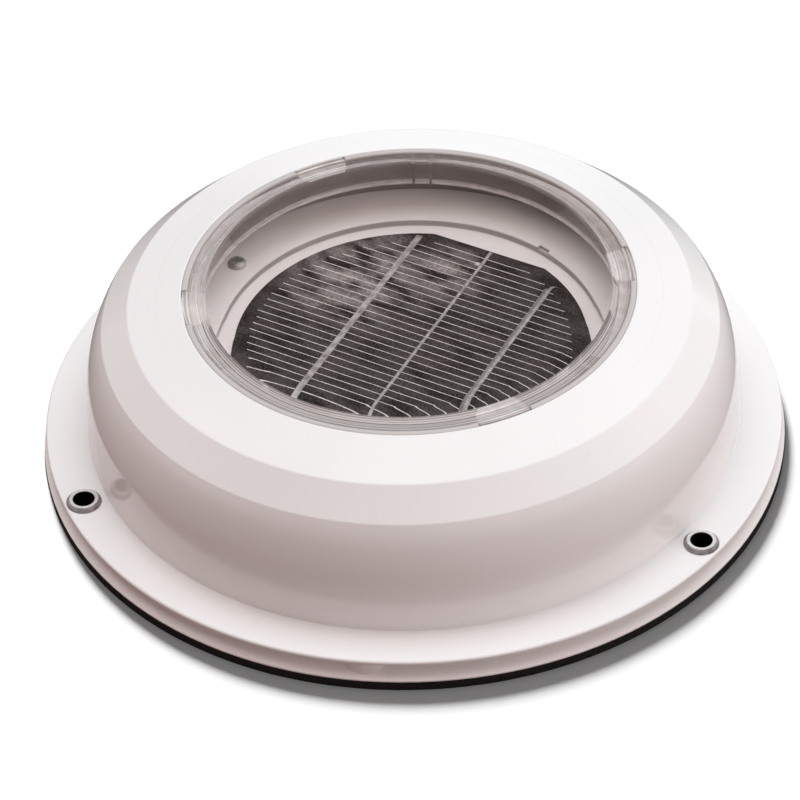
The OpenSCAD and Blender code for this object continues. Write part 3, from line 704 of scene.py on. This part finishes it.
def makeBead(finish):
    shape = beadShape
    low, high = boxOf("lens_seal")
    inside = high.x - shape["width"]
    bead = turnedPiece("lens.bead", [
        (inside, low.z, shape["footRound"]),
        (high.x, low.z, shape["footRound"]),
        (high.x, high.z, shape["topRound"]),
        (inside, high.z, shape["topRound"]),
    ], True, shape["steps"])
    notch = (shape["notch"], lensShape["lugWidth"] + 2 * lensShape["clearance"], shape["notch"])
    cutAway(bead, blocksAt(lensShape["lugAngles"], high.x, notch, high.z))
    smoothPiece(bead, sharpAngle=60)
    finishPiece(bead, finish, ["lens_seal"])
    print("lens bead modelled")


# Rolled eyelets on the flange

eyeletShape = {
    "bore": 3.0,
    "tube": 3.5,
    "head": 5.0,
    "headHeight": 1.4,
    "headEdge": 0.45,
    "crest": 4.0,
    "flare": 4.6,
    "flareHeight": 0.9,
    "edgeRound": 0.15,
    "flareRound": 0.25,
    "footRound": 0.1,
    "headRound": 0.3,
    "crestRound": 0.7,
    "mouthRound": 0.55,
    "angles": (90, 210, 330),
    "roundSteps": 6,
    "steps": 64,
}


def eyeletPlaces():
    ringRadius = boxOf("eyelets")[1].y - eyeletShape["head"]
    return [polar(ringRadius, angle) for angle in eyeletShape["angles"]]


def stainless():
    # Rolled stainless sheet, with painted light: a highlight on the crest, painted shade on the cone
    # outside it and near-black shade in the bore
    shape = eyeletShape
    finish, tree, shader = newFinish("stainless")
    off = combine(tree, "MINIMUM", *[fromAxis(tree, place) for place in eyeletPlaces()])
    brush = grain(tree, 0.5, 4.0, (1, 1, 4))
    # Painted highlight on the crest, painted shade on the cone and in the bore
    crest = tone(tree, grain(tree, 4), 0.35, 0.65, (0.84, 0.83, 0.825), (0.95, 0.94, 0.935))
    shadedCone = tone(tree, grain(tree, 2.5), 0.35, 0.65, (0.13, 0.12, 0.118), (0.42, 0.395, 0.39))
    bore = tone(tree, brush, 0.3, 0.7, (0.004, 0.0038, 0.0037), (0.02, 0.019, 0.0185))
    sheet = blendColours(tree, ramped(tree, off, shape["crest"], shape["crest"] + 0.2), crest, shadedCone)
    boreShadow = ramped(tree, off, shape["bore"] + 0.08, shape["bore"] + 0.25, 1, 0)
    paint(tree, shader, blendColours(tree, boreShadow, sheet, bore), spread(tree, brush, 0.15, 0.3))
    addBump(tree, shader, brush, 0.01, 0.4)
    shader.inputs["Metallic"].default_value = 0.4
    return finish


def makeEyelets(finish):
    shape = eyeletShape
    low, high = boxOf("eyelets")
    headLow = high.z - shape["headHeight"]
    flareTop = low.z + shape["flareHeight"]
    first = turnedPiece("eyelet", [
        (shape["bore"], low.z, shape["edgeRound"]),
        (shape["flare"], low.z, shape["flareRound"]),
        (shape["flare"], flareTop, shape["flareRound"]),
        (shape["tube"], flareTop, shape["edgeRound"]),
        (shape["tube"], headLow, 0),
        (shape["head"], headLow, shape["footRound"]),
        (shape["head"], headLow + shape["headEdge"], shape["headRound"]),
        (shape["crest"], high.z, shape["crestRound"]),
        (shape["bore"], high.z, shape["mouthRound"]),
    ], True, shape["steps"], shape["roundSteps"])
    smoothPiece(first, sharpAngle=40)
    for number, place in enumerate(eyeletPlaces(), start=1):
        eyelet = first.copy()
        eyelet.data = first.data.copy()
        eyelet.name = f"eyelet.{number}"
        bpy.context.collection.objects.link(eyelet)
        enterEdit(eyelet)
        pickAll()
        bpy.ops.transform.translate(value=place * mm)
        leaveEdit()
        finishPiece(eyelet, finish, ["eyelets"])
    bpy.data.objects.remove(first)
    print("eyelets modelled")


# Foam gasket, a little bulged and uneven where the base presses it

gasketShape = {
    "width": 19.5,
    "edgeRound": 0.3,
    "bulge": 0.15,
    "waver": 0.12,
    "ripple": 4,
    "rimDepth": 1.0,
    "screwHole": 3.4,
    "roundSteps": 4,
    "steps": 288,
}


def foamRubber():
    # Closed-cell foam with fine open pores on its cut edge
    finish, tree, shader = newFinish("foamRubber")
    pores = cells(tree, 0.55)
    paint(tree, shader,
          tone(tree, pores, 0.1, 0.6, (0.006, 0.0055, 0.0055), (0.02, 0.0185, 0.018)),
          spread(tree, grain(tree, 3), 0.8, 0.98))
    shader.inputs["Specular IOR Level"].default_value = 0.25
    addBump(tree, shader, combine(tree, "ADD", pores, grain(tree, 0.3)), 0.25, 0.8)
    return finish


def makeGasket(finish):
    shape = gasketShape
    low, high = boxOf("roof_gasket")
    middle = (low.z + high.z) / 2
    outer = high.x
    inner = outer - shape["width"]
    bulge = shape["bulge"]
    gasket = turnedPiece("gasket.foam", [
        (inner, low.z, shape["edgeRound"]),
        (outer - bulge, low.z, shape["edgeRound"]),
        (outer, middle, 0),
        (outer - bulge, high.z, shape["edgeRound"]),
        (inner, high.z, shape["edgeRound"]),
        (inner - bulge, middle, 0),
    ], True, shape["steps"], shape["roundSteps"])
    rim = gasket.vertex_groups.new(name="rim")
    for vert in gasket.data.vertices:
        onRim = vert.co.xy.length > (outer - shape["rimDepth"]) * mm
        rim.add([vert.index], 1.0 if onRim and low.z * mm < vert.co.z < high.z * mm else 0.0, "REPLACE")
    ripple = bpy.data.textures.new("foamRipple", "CLOUDS")
    ripple.noise_scale = shape["ripple"] * mm
    applyModifier(gasket, "DISPLACE", texture=ripple, texture_coords="LOCAL", vertex_group="rim",
                  strength=shape["waver"] * mm, mid_level=0.5)
    past = 1  # how far the cutters reach past the foam's faces
    cutAway(gasket, postsAt(eyeletPlaces(), shape["screwHole"], low.z - past, high.z + past))
    smoothPiece(gasket, sharpAngle=50)
    finishPiece(gasket, finish, ["roof_gasket"])
    print("gasket modelled")
    return gasket


# Solar cell: printed fingers, soldered ribbons and the blob on the middle one

cellShape = {
    "angle": 68.5,
    "ribbonAngle": 71,
    "ribbonPitch": 22.6,
    "ribbonShift": 2.9,
    "ribbonWidth": 1.9,
    "middleWidth": 0.9,
    "ribbonThickness": 0.2,
    "ribbonMiddle": 0.12,
    "ribbonBevel": 0.05,
    "ribbonSteps": 40,
    "edgeWaver": 0.09,
    "curlTurns": (70, 20, -10),
    "curlStep": 1.0,
    "curlGrip": 0.2,
    "margin": 0.6,
    "shortBy": 3.9,
    "flatDepth": 3.4,
    "solderAt": (40.2, -1.8),
    "solderRadius": 1.1,
    "solderShares": (1, 0.8, 0.6),
    "solderWaver": 0.08,
    "solderMarks": (6.3, -15.6, -26.0),
    "fingerPitch": 2.8,
    "fingerWidth": 0.21,
    "fingerThickness": 0.03,
    "fingerReach": 46.4,
    "fingerSteps": 8,
    "fingerMargins": (-0.5, 0.6),
    "endWaver": 0.4,
    "endRates": (2.3, 3.1),
    "courseWaver": 0.05,
    "courseRate": 0.21,
    "fingerSpan": (-43.5, 43.5),
    "wideReflection": (-19, 29),
    "wideReach": (7, 30),
    "smallReflection": (6, 33),
    "smallReach": (3, 17),
}


def onCell(along, across, height, angle):
    # A place on the wafer, from its distances along and across a direction
    return polar(along, angle, height) + polar(across, angle + 90)


def onRibbons(along, across, height):
    return onCell(along, across, height, cellShape["ribbonAngle"])


def leftRibbonAt():
    return cellShape["ribbonPitch"] - cellShape["ribbonShift"]


def rightRibbonAt():
    return -cellShape["ribbonPitch"] - cellShape["ribbonShift"]


def siliconWafer():
    # Dark wafer with fine speckle, and pale clouds towards the back that are a painted reflection
    finish, tree, shader = newFinish("siliconWafer")
    top = boxOf("solar_cell")[1].z
    speckle = tone(tree, grain(tree, 0.6, 2.0), 0.42, 0.72, (0.006, 0.004, 0.0037), (0.06, 0.044, 0.042))
    # Painted reflection: pale clouds over the back of the wafer, faint everywhere else
    clouds = spread(tree, grain(tree, 10, 5.0, (1, 2.2, 1), -25), 0, 1, 0.36, 0.6)
    wide = nearness(tree, Vector((*cellShape["wideReflection"], top)), *cellShape["wideReach"])
    small = nearness(tree, Vector((*cellShape["smallReflection"], top)), *cellShape["smallReach"])
    reflectionReach = combine(tree, "MAXIMUM", wide, small, 0.14)
    reflectionTone = tone(tree, grain(tree, 0.9), 0.3, 0.7, (0.17, 0.144, 0.14), (0.44, 0.38, 0.372))
    waferAndReflection = blendColours(tree, combine(tree, "MULTIPLY", clouds, reflectionReach), speckle, reflectionTone)
    paint(tree, shader, waferAndReflection, spread(tree, grain(tree, 6), 0.3, 0.5))
    addBump(tree, shader, grain(tree, 0.4), 0.01, 0.5)
    shader.inputs["Specular IOR Level"].default_value = 0.1
    return finish


def tinnedRibbon(name):
    # Solder-coated copper strip: blotchy, with a few dark cross marks on the left one
    finish, tree, shader = newFinish(name)
    height = boxOf("tab_ribbons")[1].z
    strip = tone(tree, grain(tree, 2.2, 4.0), 0.35, 0.65, (0.3, 0.27, 0.262), (0.55, 0.505, 0.49))
    dark = tone(tree, grain(tree, 0.4), 0.3, 0.7, (0.06, 0.052, 0.05), (0.16, 0.14, 0.136))
    for along in cellShape["solderMarks"]:
        mark = nearness(tree, onRibbons(along, leftRibbonAt(), height), 0.4, 1.1)
        strip = blendColours(tree, combine(tree, "MULTIPLY", mark, grain(tree, 0.8)), strip, dark)
    paint(tree, shader, strip, spread(tree, grain(tree, 1.0), 0.3, 0.6))
    addBump(tree, shader, grain(tree, 0.7), 0.05, 0.6)
    shader.inputs["Metallic"].default_value = 0.4
    return finish


def shadedRibbon(name):
    # The same strip with painted shade over its left half, darker there than along its right edge
    finish = tinnedRibbon(name)
    tree = finish.node_tree
    shader = tree.nodes["Principled BSDF"]
    strip = shader.inputs["Base Color"].links[0].from_socket
    across = distanceAlong(tree, polar(1, cellShape["ribbonAngle"] + 90))
    edge = rightRibbonAt()
    # Painted shade over the strip's left half
    paintedShade = ramped(tree, across, edge - 0.25, edge + 0.25, 0, 0.75)
    shade = tone(tree, grain(tree, 1.4), 0.3, 0.7, (0.1, 0.088, 0.085), (0.24, 0.21, 0.204))
    tree.links.new(blendColours(tree, paintedShade, strip, shade), shader.inputs["Base Color"])
    return finish


def silverPrint():
    # Fired silver paste
    finish, tree, shader = newFinish("silverPrint")
    paint(tree, shader,
          tone(tree, grain(tree, 1.1), 0.3, 0.7, (0.56, 0.515, 0.505), (1, 0.96, 0.95)),
          spread(tree, grain(tree, 0.6), 0.45, 0.7))
    addBump(tree, shader, grain(tree, 0.2), 0.01, 0.5)
    return finish


def makeFingers(finish):
    shape = cellShape
    height = boxOf("solar_cell")[1].z
    fingers = startPiece("cell.fingers")
    first, last = shape["fingerSpan"]
    count = round((last - first) / shape["fingerPitch"]) + 1
    across = polar(shape["fingerWidth"], shape["angle"])
    leftMargin, rightMargin = shape["fingerMargins"]
    leftRate, rightRate = shape["endRates"]
    # Ends and courses waver a little, each finger in its own way
    for i in range(count):
        along = first + i * (last - first) / (count - 1)
        half = math.sqrt(shape["fingerReach"] ** 2 - along ** 2)
        left = half - leftMargin - shape["endWaver"] * math.sin(leftRate * i)
        right = -half + rightMargin + shape["endWaver"] * math.sin(rightRate * i + 1)
        stretch = (right - left) / shape["fingerSteps"]
        spots = [left + stretch * step for step in range(shape["fingerSteps"] + 1)]
        wave = [along + shape["courseWaver"] * math.sin(shape["courseRate"] * spot + i) for spot in spots]
        drawLine([onCell(*place, height, shape["angle"]) for place in zip(wave, spots)])
        bpy.ops.mesh.select_linked()
        extrudeEdges(across)
    pickAll()
    extrudeFaces(upAxis * shape["fingerThickness"])
    mergeDoubles()
    leaveEdit()
    finishPiece(fingers, finish)
    print("fingers modelled:", count)


def drawRibbon(offset, width, start, end, height):
    # A flat strip along the ribbons' direction, two faces wide
    steps = cellShape["ribbonSteps"]
    spots = [start + (end - start) * step / steps for step in range(steps + 1)]
    drawLine([onRibbons(spot, offset - width / 2, height) for spot in spots])
    bpy.ops.mesh.select_linked()
    for side in range(2):
        extrudeEdges(polar(width / 2, cellShape["ribbonAngle"] + 90))


def thickenRibbon(piece, seed):
    # Uneven edges, then the thickness, with softened corners
    pickAll()
    bpy.ops.transform.vertex_random(offset=cellShape["edgeWaver"] * mm, uniform=0.0, normal=0.0, seed=seed)
    bpy.ops.mesh.normals_make_consistent(inside=False)
    leaveEdit()
    applyModifier(piece, "SOLIDIFY", thickness=cellShape["ribbonThickness"] * mm, offset=0.0)
    applyModifier(piece, "BEVEL", width=cellShape["ribbonBevel"] * mm, segments=2, limit_method="ANGLE")
    applyModifier(piece, "SUBSURF", levels=1, render_levels=1)
    smoothPiece(piece, sharpAngle=50)


def halfChord(offset):
    radius = boxOf("solar_cell")[1].x
    return math.sqrt(radius ** 2 - offset ** 2)


def makeRibbons(finish, rightFinish):
    shape = cellShape
    height = boxOf("tab_ribbons")[0].z + shape["ribbonMiddle"]
    width = shape["ribbonWidth"]
    leftAt = leftRibbonAt()
    rightAt = rightRibbonAt()
    leftEnd = halfChord(leftAt + width) - shape["margin"]
    rightEnd = halfChord(-rightAt + width) - shape["margin"]
    shortEnd = rightEnd - shape["shortBy"]

    left = startPiece("cell.ribbon.left")
    drawRibbon(leftAt, width, -leftEnd, leftEnd, height)
    thickenRibbon(left, seed=3)
    finishPiece(left, finish, ["tab_ribbons"])

    right = startPiece("cell.ribbon.right")
    drawRibbon(rightAt, width, -rightEnd, shortEnd, height)
    curlFrom = [onRibbons(shortEnd, rightAt - side * width / 2, height) for side in (0, 1)]
    pickVerts(right, lambda co: min((co - place).length for place in curlFrom) < shape["curlGrip"])
    for turn in shape["curlTurns"]:
        extrudeEdges(polar(shape["curlStep"], turn))
    thickenRibbon(right, seed=5)
    finishPiece(right, rightFinish, ["tab_ribbons"])

    middle = startPiece("cell.ribbon.middle")
    lowEnd = halfChord(shape["ribbonShift"] + shape["middleWidth"]) - shape["margin"]
    flatEnd = boxOf("solar_cell")[1].x - shape["flatDepth"] - shape["margin"]
    drawRibbon(-shape["ribbonShift"], shape["middleWidth"], -lowEnd, flatEnd, height)
    thickenRibbon(middle, seed=8)
    finishPiece(middle, finish, ["centre_ribbon"])
    print("ribbons modelled")


def makeSolder(finish):
    # Lump of solder beside the middle ribbon
    height = boxOf("solar_cell")[1].z
    middle = onRibbons(*cellShape["solderAt"], height)
    solder = startPiece("cell.solder")
    bpy.ops.mesh.primitive_uv_sphere_add(
        segments=24, ring_count=16, radius=cellShape["solderRadius"] * mm, location=middle * mm)
    pickAll()
    bpy.ops.transform.resize(value=cellShape["solderShares"], center_override=middle * mm)
    bpy.ops.mesh.bisect(plane_co=middle * mm, plane_no=upAxis, use_fill=True, clear_inner=True)
    pickAll()
    bpy.ops.transform.vertex_random(offset=cellShape["solderWaver"] * mm, seed=4)
    bpy.ops.mesh.normals_make_consistent(inside=False)
    leaveEdit()
    smoothPiece(solder, sharpAngle=60)
    finishPiece(solder, finish)
    print("solder modelled")


# Finishes of the CAD nodes that stay


def deckWhite():
    # Thermoformed sheet: dull, with fine grain, a few pale specks, and darker on the pocket's side wall
    colour = (0.78, 0.732, 0.722)
    floor = boxOf("solar_cell")[0].z
    top = boxOf("deck")[1].z
    finish, tree, shader = newFinish("deckWhite")
    plain = tone(tree, grain(tree, 12), 0.3, 0.7, scaled(colour, 0.95), colour)
    specks = spread(tree, cells(tree, 7), 1, 0, 0.02, 0.035)
    pale = tone(tree, grain(tree, 2), 0.3, 0.7, (0.86, 0.84, 0.83), (0.9, 0.88, 0.87))
    # Darker between the pocket's floor and the deck's top, on the pocket's side wall
    height = distanceAlong(tree, upAxis)
    above = ramped(tree, height, floor + 0.1, floor + 0.3)
    below = ramped(tree, height, top - 0.5, top - 0.2, 1, 0)
    pocketWallTone = tone(tree, grain(tree, 2), 0.3, 0.7, scaled(colour, 0.55), scaled(colour, 0.62))
    sheet = blendColours(tree, specks, plain, pale)
    ring = combine(tree, "MULTIPLY", above, below)
    paint(tree, shader, blendColours(tree, ring, sheet, pocketWallTone), spread(tree, grain(tree, 3), 0.42, 0.6))
    addBump(tree, shader, grain(tree, 0.35), 0.02, 0.5)
    return finish


def copperWire():
    # Enamelled turns, as fine ridges round the arm
    finish, tree, shader = newFinish("copperWire")
    turns = tree.nodes.new("ShaderNodeTexWave")
    turns.inputs["Scale"].default_value = 1 / (1.6 * mm)
    turns.inputs["Distortion"].default_value = 0.6
    tree.links.new(placeOf(tree, turn=30), turns.inputs["Vector"])
    paint(tree, shader,
          tone(tree, turns.outputs["Fac"], 0.1, 0.7, (0.16, 0.045, 0.012), (0.62, 0.24, 0.08)),
          spread(tree, grain(tree, 2), 0.25, 0.4))
    addBump(tree, shader, turns.outputs["Fac"], 0.15, 0.8)
    shader.inputs["Metallic"].default_value = 0.7
    return finish


def dressNodes():
    whiteMoulding = plasticFinish("whiteMoulding", (0.84, 0.81, 0.805), 0.3, 0.8, 0.015)
    screwSteel = metalFinish("screwSteel", (0.66, 0.645, 0.64), 0.28, 0.3, tarnish=0.35, metallic=0.6)
    capPlastic = plasticFinish("capPlastic", (0.72, 0.7, 0.64), 0.4, 0.6, 0.02)
    retainerWhite = plasticFinish("retainerWhite", (0.74, 0.7, 0.69), 0.42, 0.7, 0.02)
    brass = metalFinish("springBrass", (0.72, 0.53, 0.25), 0.3, 0.3, (1, 8, 1))
    bronze = metalFinish("bushBronze", (0.6, 0.42, 0.2), 0.4, 0.2)
    shaftSteel = metalFinish("shaftSteel", (0.68, 0.68, 0.69), 0.16, 0.15, (1, 1, 10), 0.1)
    finishes = {
        "base_ring": whiteMoulding,
        "screen_ring": whiteMoulding,
        "deck": deckWhite(),
        "deck_screws": screwSteel,
        "motor_screws": screwSteel,
        "solar_cell": siliconWafer(),
        "positive_lead": plasticFinish("redInsulation", (0.5, 0.03, 0.02), 0.4, 0.5, 0.02, 0.15),
        "negative_lead": plasticFinish("blackInsulation", (0.02, 0.02, 0.02), 0.45, 0.5, 0.02, 0.2),
        "motor_can": metalFinish("canSteel", (0.6, 0.6, 0.61), 0.25, 0.4, (1, 1, 8)),
        "motor_end_cap": capPlastic,
        "motor_magnets": plasticFinish("ferrite", (0.045, 0.045, 0.048), 0.6, 0.4, 0.05, 0.3),
        "motor_brushes": brass,
        "motor_terminals": brass,
        "front_bush": bronze,
        "rear_bush": bronze,
        "motor_retainer": retainerWhite,
        "motor_shaft": shaftSteel,
        "armature_core": metalFinish("coreSteel", (0.3, 0.3, 0.31), 0.35, 0.5, (1, 1, 40), 0.3),
        "armature_windings": copperWire(),
        "commutator": metalFinish("commutatorCopper", (0.68, 0.33, 0.16), 0.3, 0.2, (1, 1, 8)),
        "fan": plasticFinish("fanWhite", (0.76, 0.74, 0.71), 0.32, 0.9, 0.02),
        "insect_screen": plasticFinish("screenGrey", (0.25, 0.255, 0.25), 0.5, 0.4, 0.03, 0.12),
    }
    for node, finish in finishes.items():
        piece = frame["nodes"][node]
        piece.data.materials.clear()
        piece.data.materials.append(finish)
    print("CAD nodes dressed:", len(finishes))


# Floor, light and camera

stageLook = {
    "floorSize": 8.0,
    "floorPale": (0.95, 0.95, 0.95),
    "floorBounce": (0.31, 0.235, 0.22),
    "floorGloss": (0.12, 0.11, 0.11),
    "floorGlow": 0.08,
    "skyLight": 0.1,
    "skyGloss": 0.4,
    "skyDark": 0.05,
    "darkAzimuth": 99.25,
    "darkElevation": 40,
    "darkEdge": (0.78, 0.93),
    "glossBack": (-0.85, -0.6),
    "cameraAim": (-3.74, -0.59, 12.07),
    "cameraAzimuth": 9.25,
    "cameraElevation": 40.36,
    "cameraDistance": 1149.9,
    "cameraRoll": -2.42,
    "cameraLens": 178.92,
    "cameraSensor": 36,
}

# Soft lamps round the part, one for the deck under the lens, and one that only the floor receives,
# past the gasket
lampSoftness = 44
lampLook = {
    "topLamp": {"azimuth": 0, "elevation": 88, "strength": 0.74, "colour": (1, 0.76, 0.69)},
    "backLeftLamp": {"azimuth": 144, "elevation": 65, "strength": 1.26, "colour": (0.9, 0.98, 1)},
    "backRightLamp": {"azimuth": 54, "elevation": 65, "strength": 1.3, "colour": (0.8, 0.93, 1)},
    "leftLamp": {"azimuth": 189, "elevation": 15, "strength": 0.48, "colour": (1, 0.52, 0.42)},
    "frontLamp": {"azimuth": 324, "elevation": 15, "strength": 0.86, "colour": (1, 0.8, 0.77)},
    "rightLamp": {"azimuth": 9, "elevation": 15, "strength": 0.87, "colour": (1, 1, 0.98)},
    "deckLamp": {"azimuth": 315, "elevation": 50, "strength": 1.1, "colour": (1, 0.93, 0.92)},
    "floorLamp": {"azimuth": 112, "elevation": 21.5, "strength": 8.1, "softness": 18, "colour": (1, 1, 1)},
}
lowLamps = ("leftLamp", "frontLamp", "rightLamp")


def makeFloor():
    deselectAll()
    bpy.ops.mesh.primitive_plane_add(size=stageLook["floorSize"])
    floor = bpy.context.object
    floor.name = "floor"
    finish, tree, shader = newFinish("paleFloor")
    path = tree.nodes.new("ShaderNodeLightPath")
    glossy = path.outputs["Is Glossy Ray"]
    pale = stageLook["floorPale"]
    plain = tone(tree, path.outputs["Is Diffuse Ray"], 0, 1, pale, stageLook["floorBounce"])
    mirrored = tone(tree, glossy, 0, 1, pale, stageLook["floorGloss"])
    floorTone = blendColours(tree, glossy, plain, mirrored)
    tree.links.new(floorTone, shader.inputs["Base Color"])
    tree.links.new(floorTone, shader.inputs["Emission Color"])
    shader.inputs["Emission Strength"].default_value = stageLook["floorGlow"]
    shader.inputs["Roughness"].default_value = 1.0
    shader.inputs["Specular IOR Level"].default_value = 0.0
    # Seen from below the floor is clear, so that it doesn't hide the part's underside
    facing = tree.nodes.new("ShaderNodeNewGeometry")
    clear = tree.nodes.new("ShaderNodeBsdfTransparent")
    seen = mixShaders(tree, facing.outputs["Backfacing"], shader.outputs["BSDF"], clear.outputs["BSDF"])
    showSurface(tree, seen)
    floor.data.materials.append(finish)
    return floor


def linked(name, pieces, state):
    # Collection of the pieces that a lamp lights, or leaves out
    links = bpy.data.collections.new(name)
    for piece in pieces:
        links.objects.link(piece)
    for link in links.collection_objects:
        link.light_linking.link_state = state
    return links


def makeLamps(floor, deck, gasket):
    for name, look in lampLook.items():
        deselectAll()
        bpy.ops.object.light_add(type="SUN")
        lamp = bpy.context.object
        lamp.name = name
        rise = math.radians(look["elevation"])
        towards = polar(math.cos(rise), look["azimuth"], math.sin(rise))
        lamp.rotation_mode = "QUATERNION"
        lamp.rotation_quaternion = towards.to_track_quat("Z", "Y")
        lamp.data.energy = look["strength"]
        lamp.data.angle = math.radians(look.get("softness", lampSoftness))
        lamp.data.color = look["colour"]
        lamp.visible_glossy = False
        receivers = name + ".receivers"
        if name == "floorLamp":
            lamp.light_linking.receiver_collection = linked(receivers, [floor], "INCLUDE")
            lamp.light_linking.blocker_collection = linked(name + ".blockers", [gasket], "INCLUDE")
        elif name == "deckLamp":
            lamp.light_linking.receiver_collection = linked(receivers, [deck], "INCLUDE")
        elif name in lowLamps:
            lamp.light_linking.receiver_collection = linked(receivers, [floor, deck], "EXCLUDE")
        else:
            lamp.light_linking.receiver_collection = linked(receivers, [floor], "EXCLUDE")


def makeSky():
    # Faint even light. The camera sees white; gloss sees pale walls, white low at the back,
    # and one dark patch where the level surfaces mirror it
    look = stageLook
    world = bpy.data.worlds.new("studio")
    bpy.context.scene.world = world
    world.use_nodes = True
    tree = world.node_tree
    place = tree.nodes.new("ShaderNodeTexCoord")
    parts = tree.nodes.new("ShaderNodeSeparateXYZ")
    tree.links.new(place.outputs["Generated"], parts.inputs["Vector"])
    behind = combine(tree, "SUBTRACT", parts.outputs["Z"], parts.outputs["Y"])
    behind = spread(tree, behind, 1, 0, *look["glossBack"])
    rise = math.radians(look["darkElevation"])
    darkest = polar(math.cos(rise), look["darkAzimuth"], math.sin(rise))
    towards = vectorStep(tree, "DOT_PRODUCT", place.outputs["Generated"], darkest)
    walls = spread(tree, towards, look["skyGloss"], look["skyDark"], *look["darkEdge"])
    path = tree.nodes.new("ShaderNodeLightPath")
    mirrored = combine(tree, "MAXIMUM", path.outputs["Is Glossy Ray"], path.outputs["Is Transmission Ray"])
    mirrored = combine(tree, "MULTIPLY", mirrored, combine(tree, "MAXIMUM", walls, behind))
    seen = combine(tree, "MAXIMUM", path.outputs["Is Camera Ray"], mirrored)
    scattered = combine(tree, "MULTIPLY", path.outputs["Is Diffuse Ray"], look["skyLight"])
    background = tree.nodes["Background"]
    background.inputs["Color"].default_value = (1, 1, 1, 1)
    tree.links.new(combine(tree, "MAXIMUM", seen, scattered), background.inputs["Strength"])


def makeCamera():
    look = stageLook
    aim = Vector(look["cameraAim"]) * mm
    azimuth = math.radians(look["cameraAzimuth"])
    elevation = math.radians(look["cameraElevation"])
    back = Vector((math.sin(azimuth) * math.cos(elevation),
                   -math.cos(azimuth) * math.cos(elevation),
                   math.sin(elevation)))
    deselectAll()
    bpy.ops.object.camera_add(location=aim + back * look["cameraDistance"] * mm)
    camera = bpy.context.object
    camera.rotation_mode = "QUATERNION"
    roll = Quaternion((0, 0, 1), math.radians(look["cameraRoll"]))
    camera.rotation_quaternion = (-back).to_track_quat("-Z", "Y") @ roll
    camera.data.lens = look["cameraLens"]
    camera.data.sensor_width = look["cameraSensor"]
    bpy.context.scene.camera = camera


makeSky()
makeCamera()
bpy.context.scene.view_settings.view_transform = "Standard"

gasket = makeGasket(foamRubber())
makeCover(glossWhite())
makeEyelets(stainless())
makeLens(clearLens())
makeBead(paleSeal())
makeFingers(silverPrint())
makeRibbons(tinnedRibbon("tinnedRibbon"), shadedRibbon("shadedRibbon"))
makeSolder(tinnedRibbon("solderTin"))
dressNodes()
makeLamps(makeFloor(), frame["nodes"]["deck"], gasket)
print("stage set")
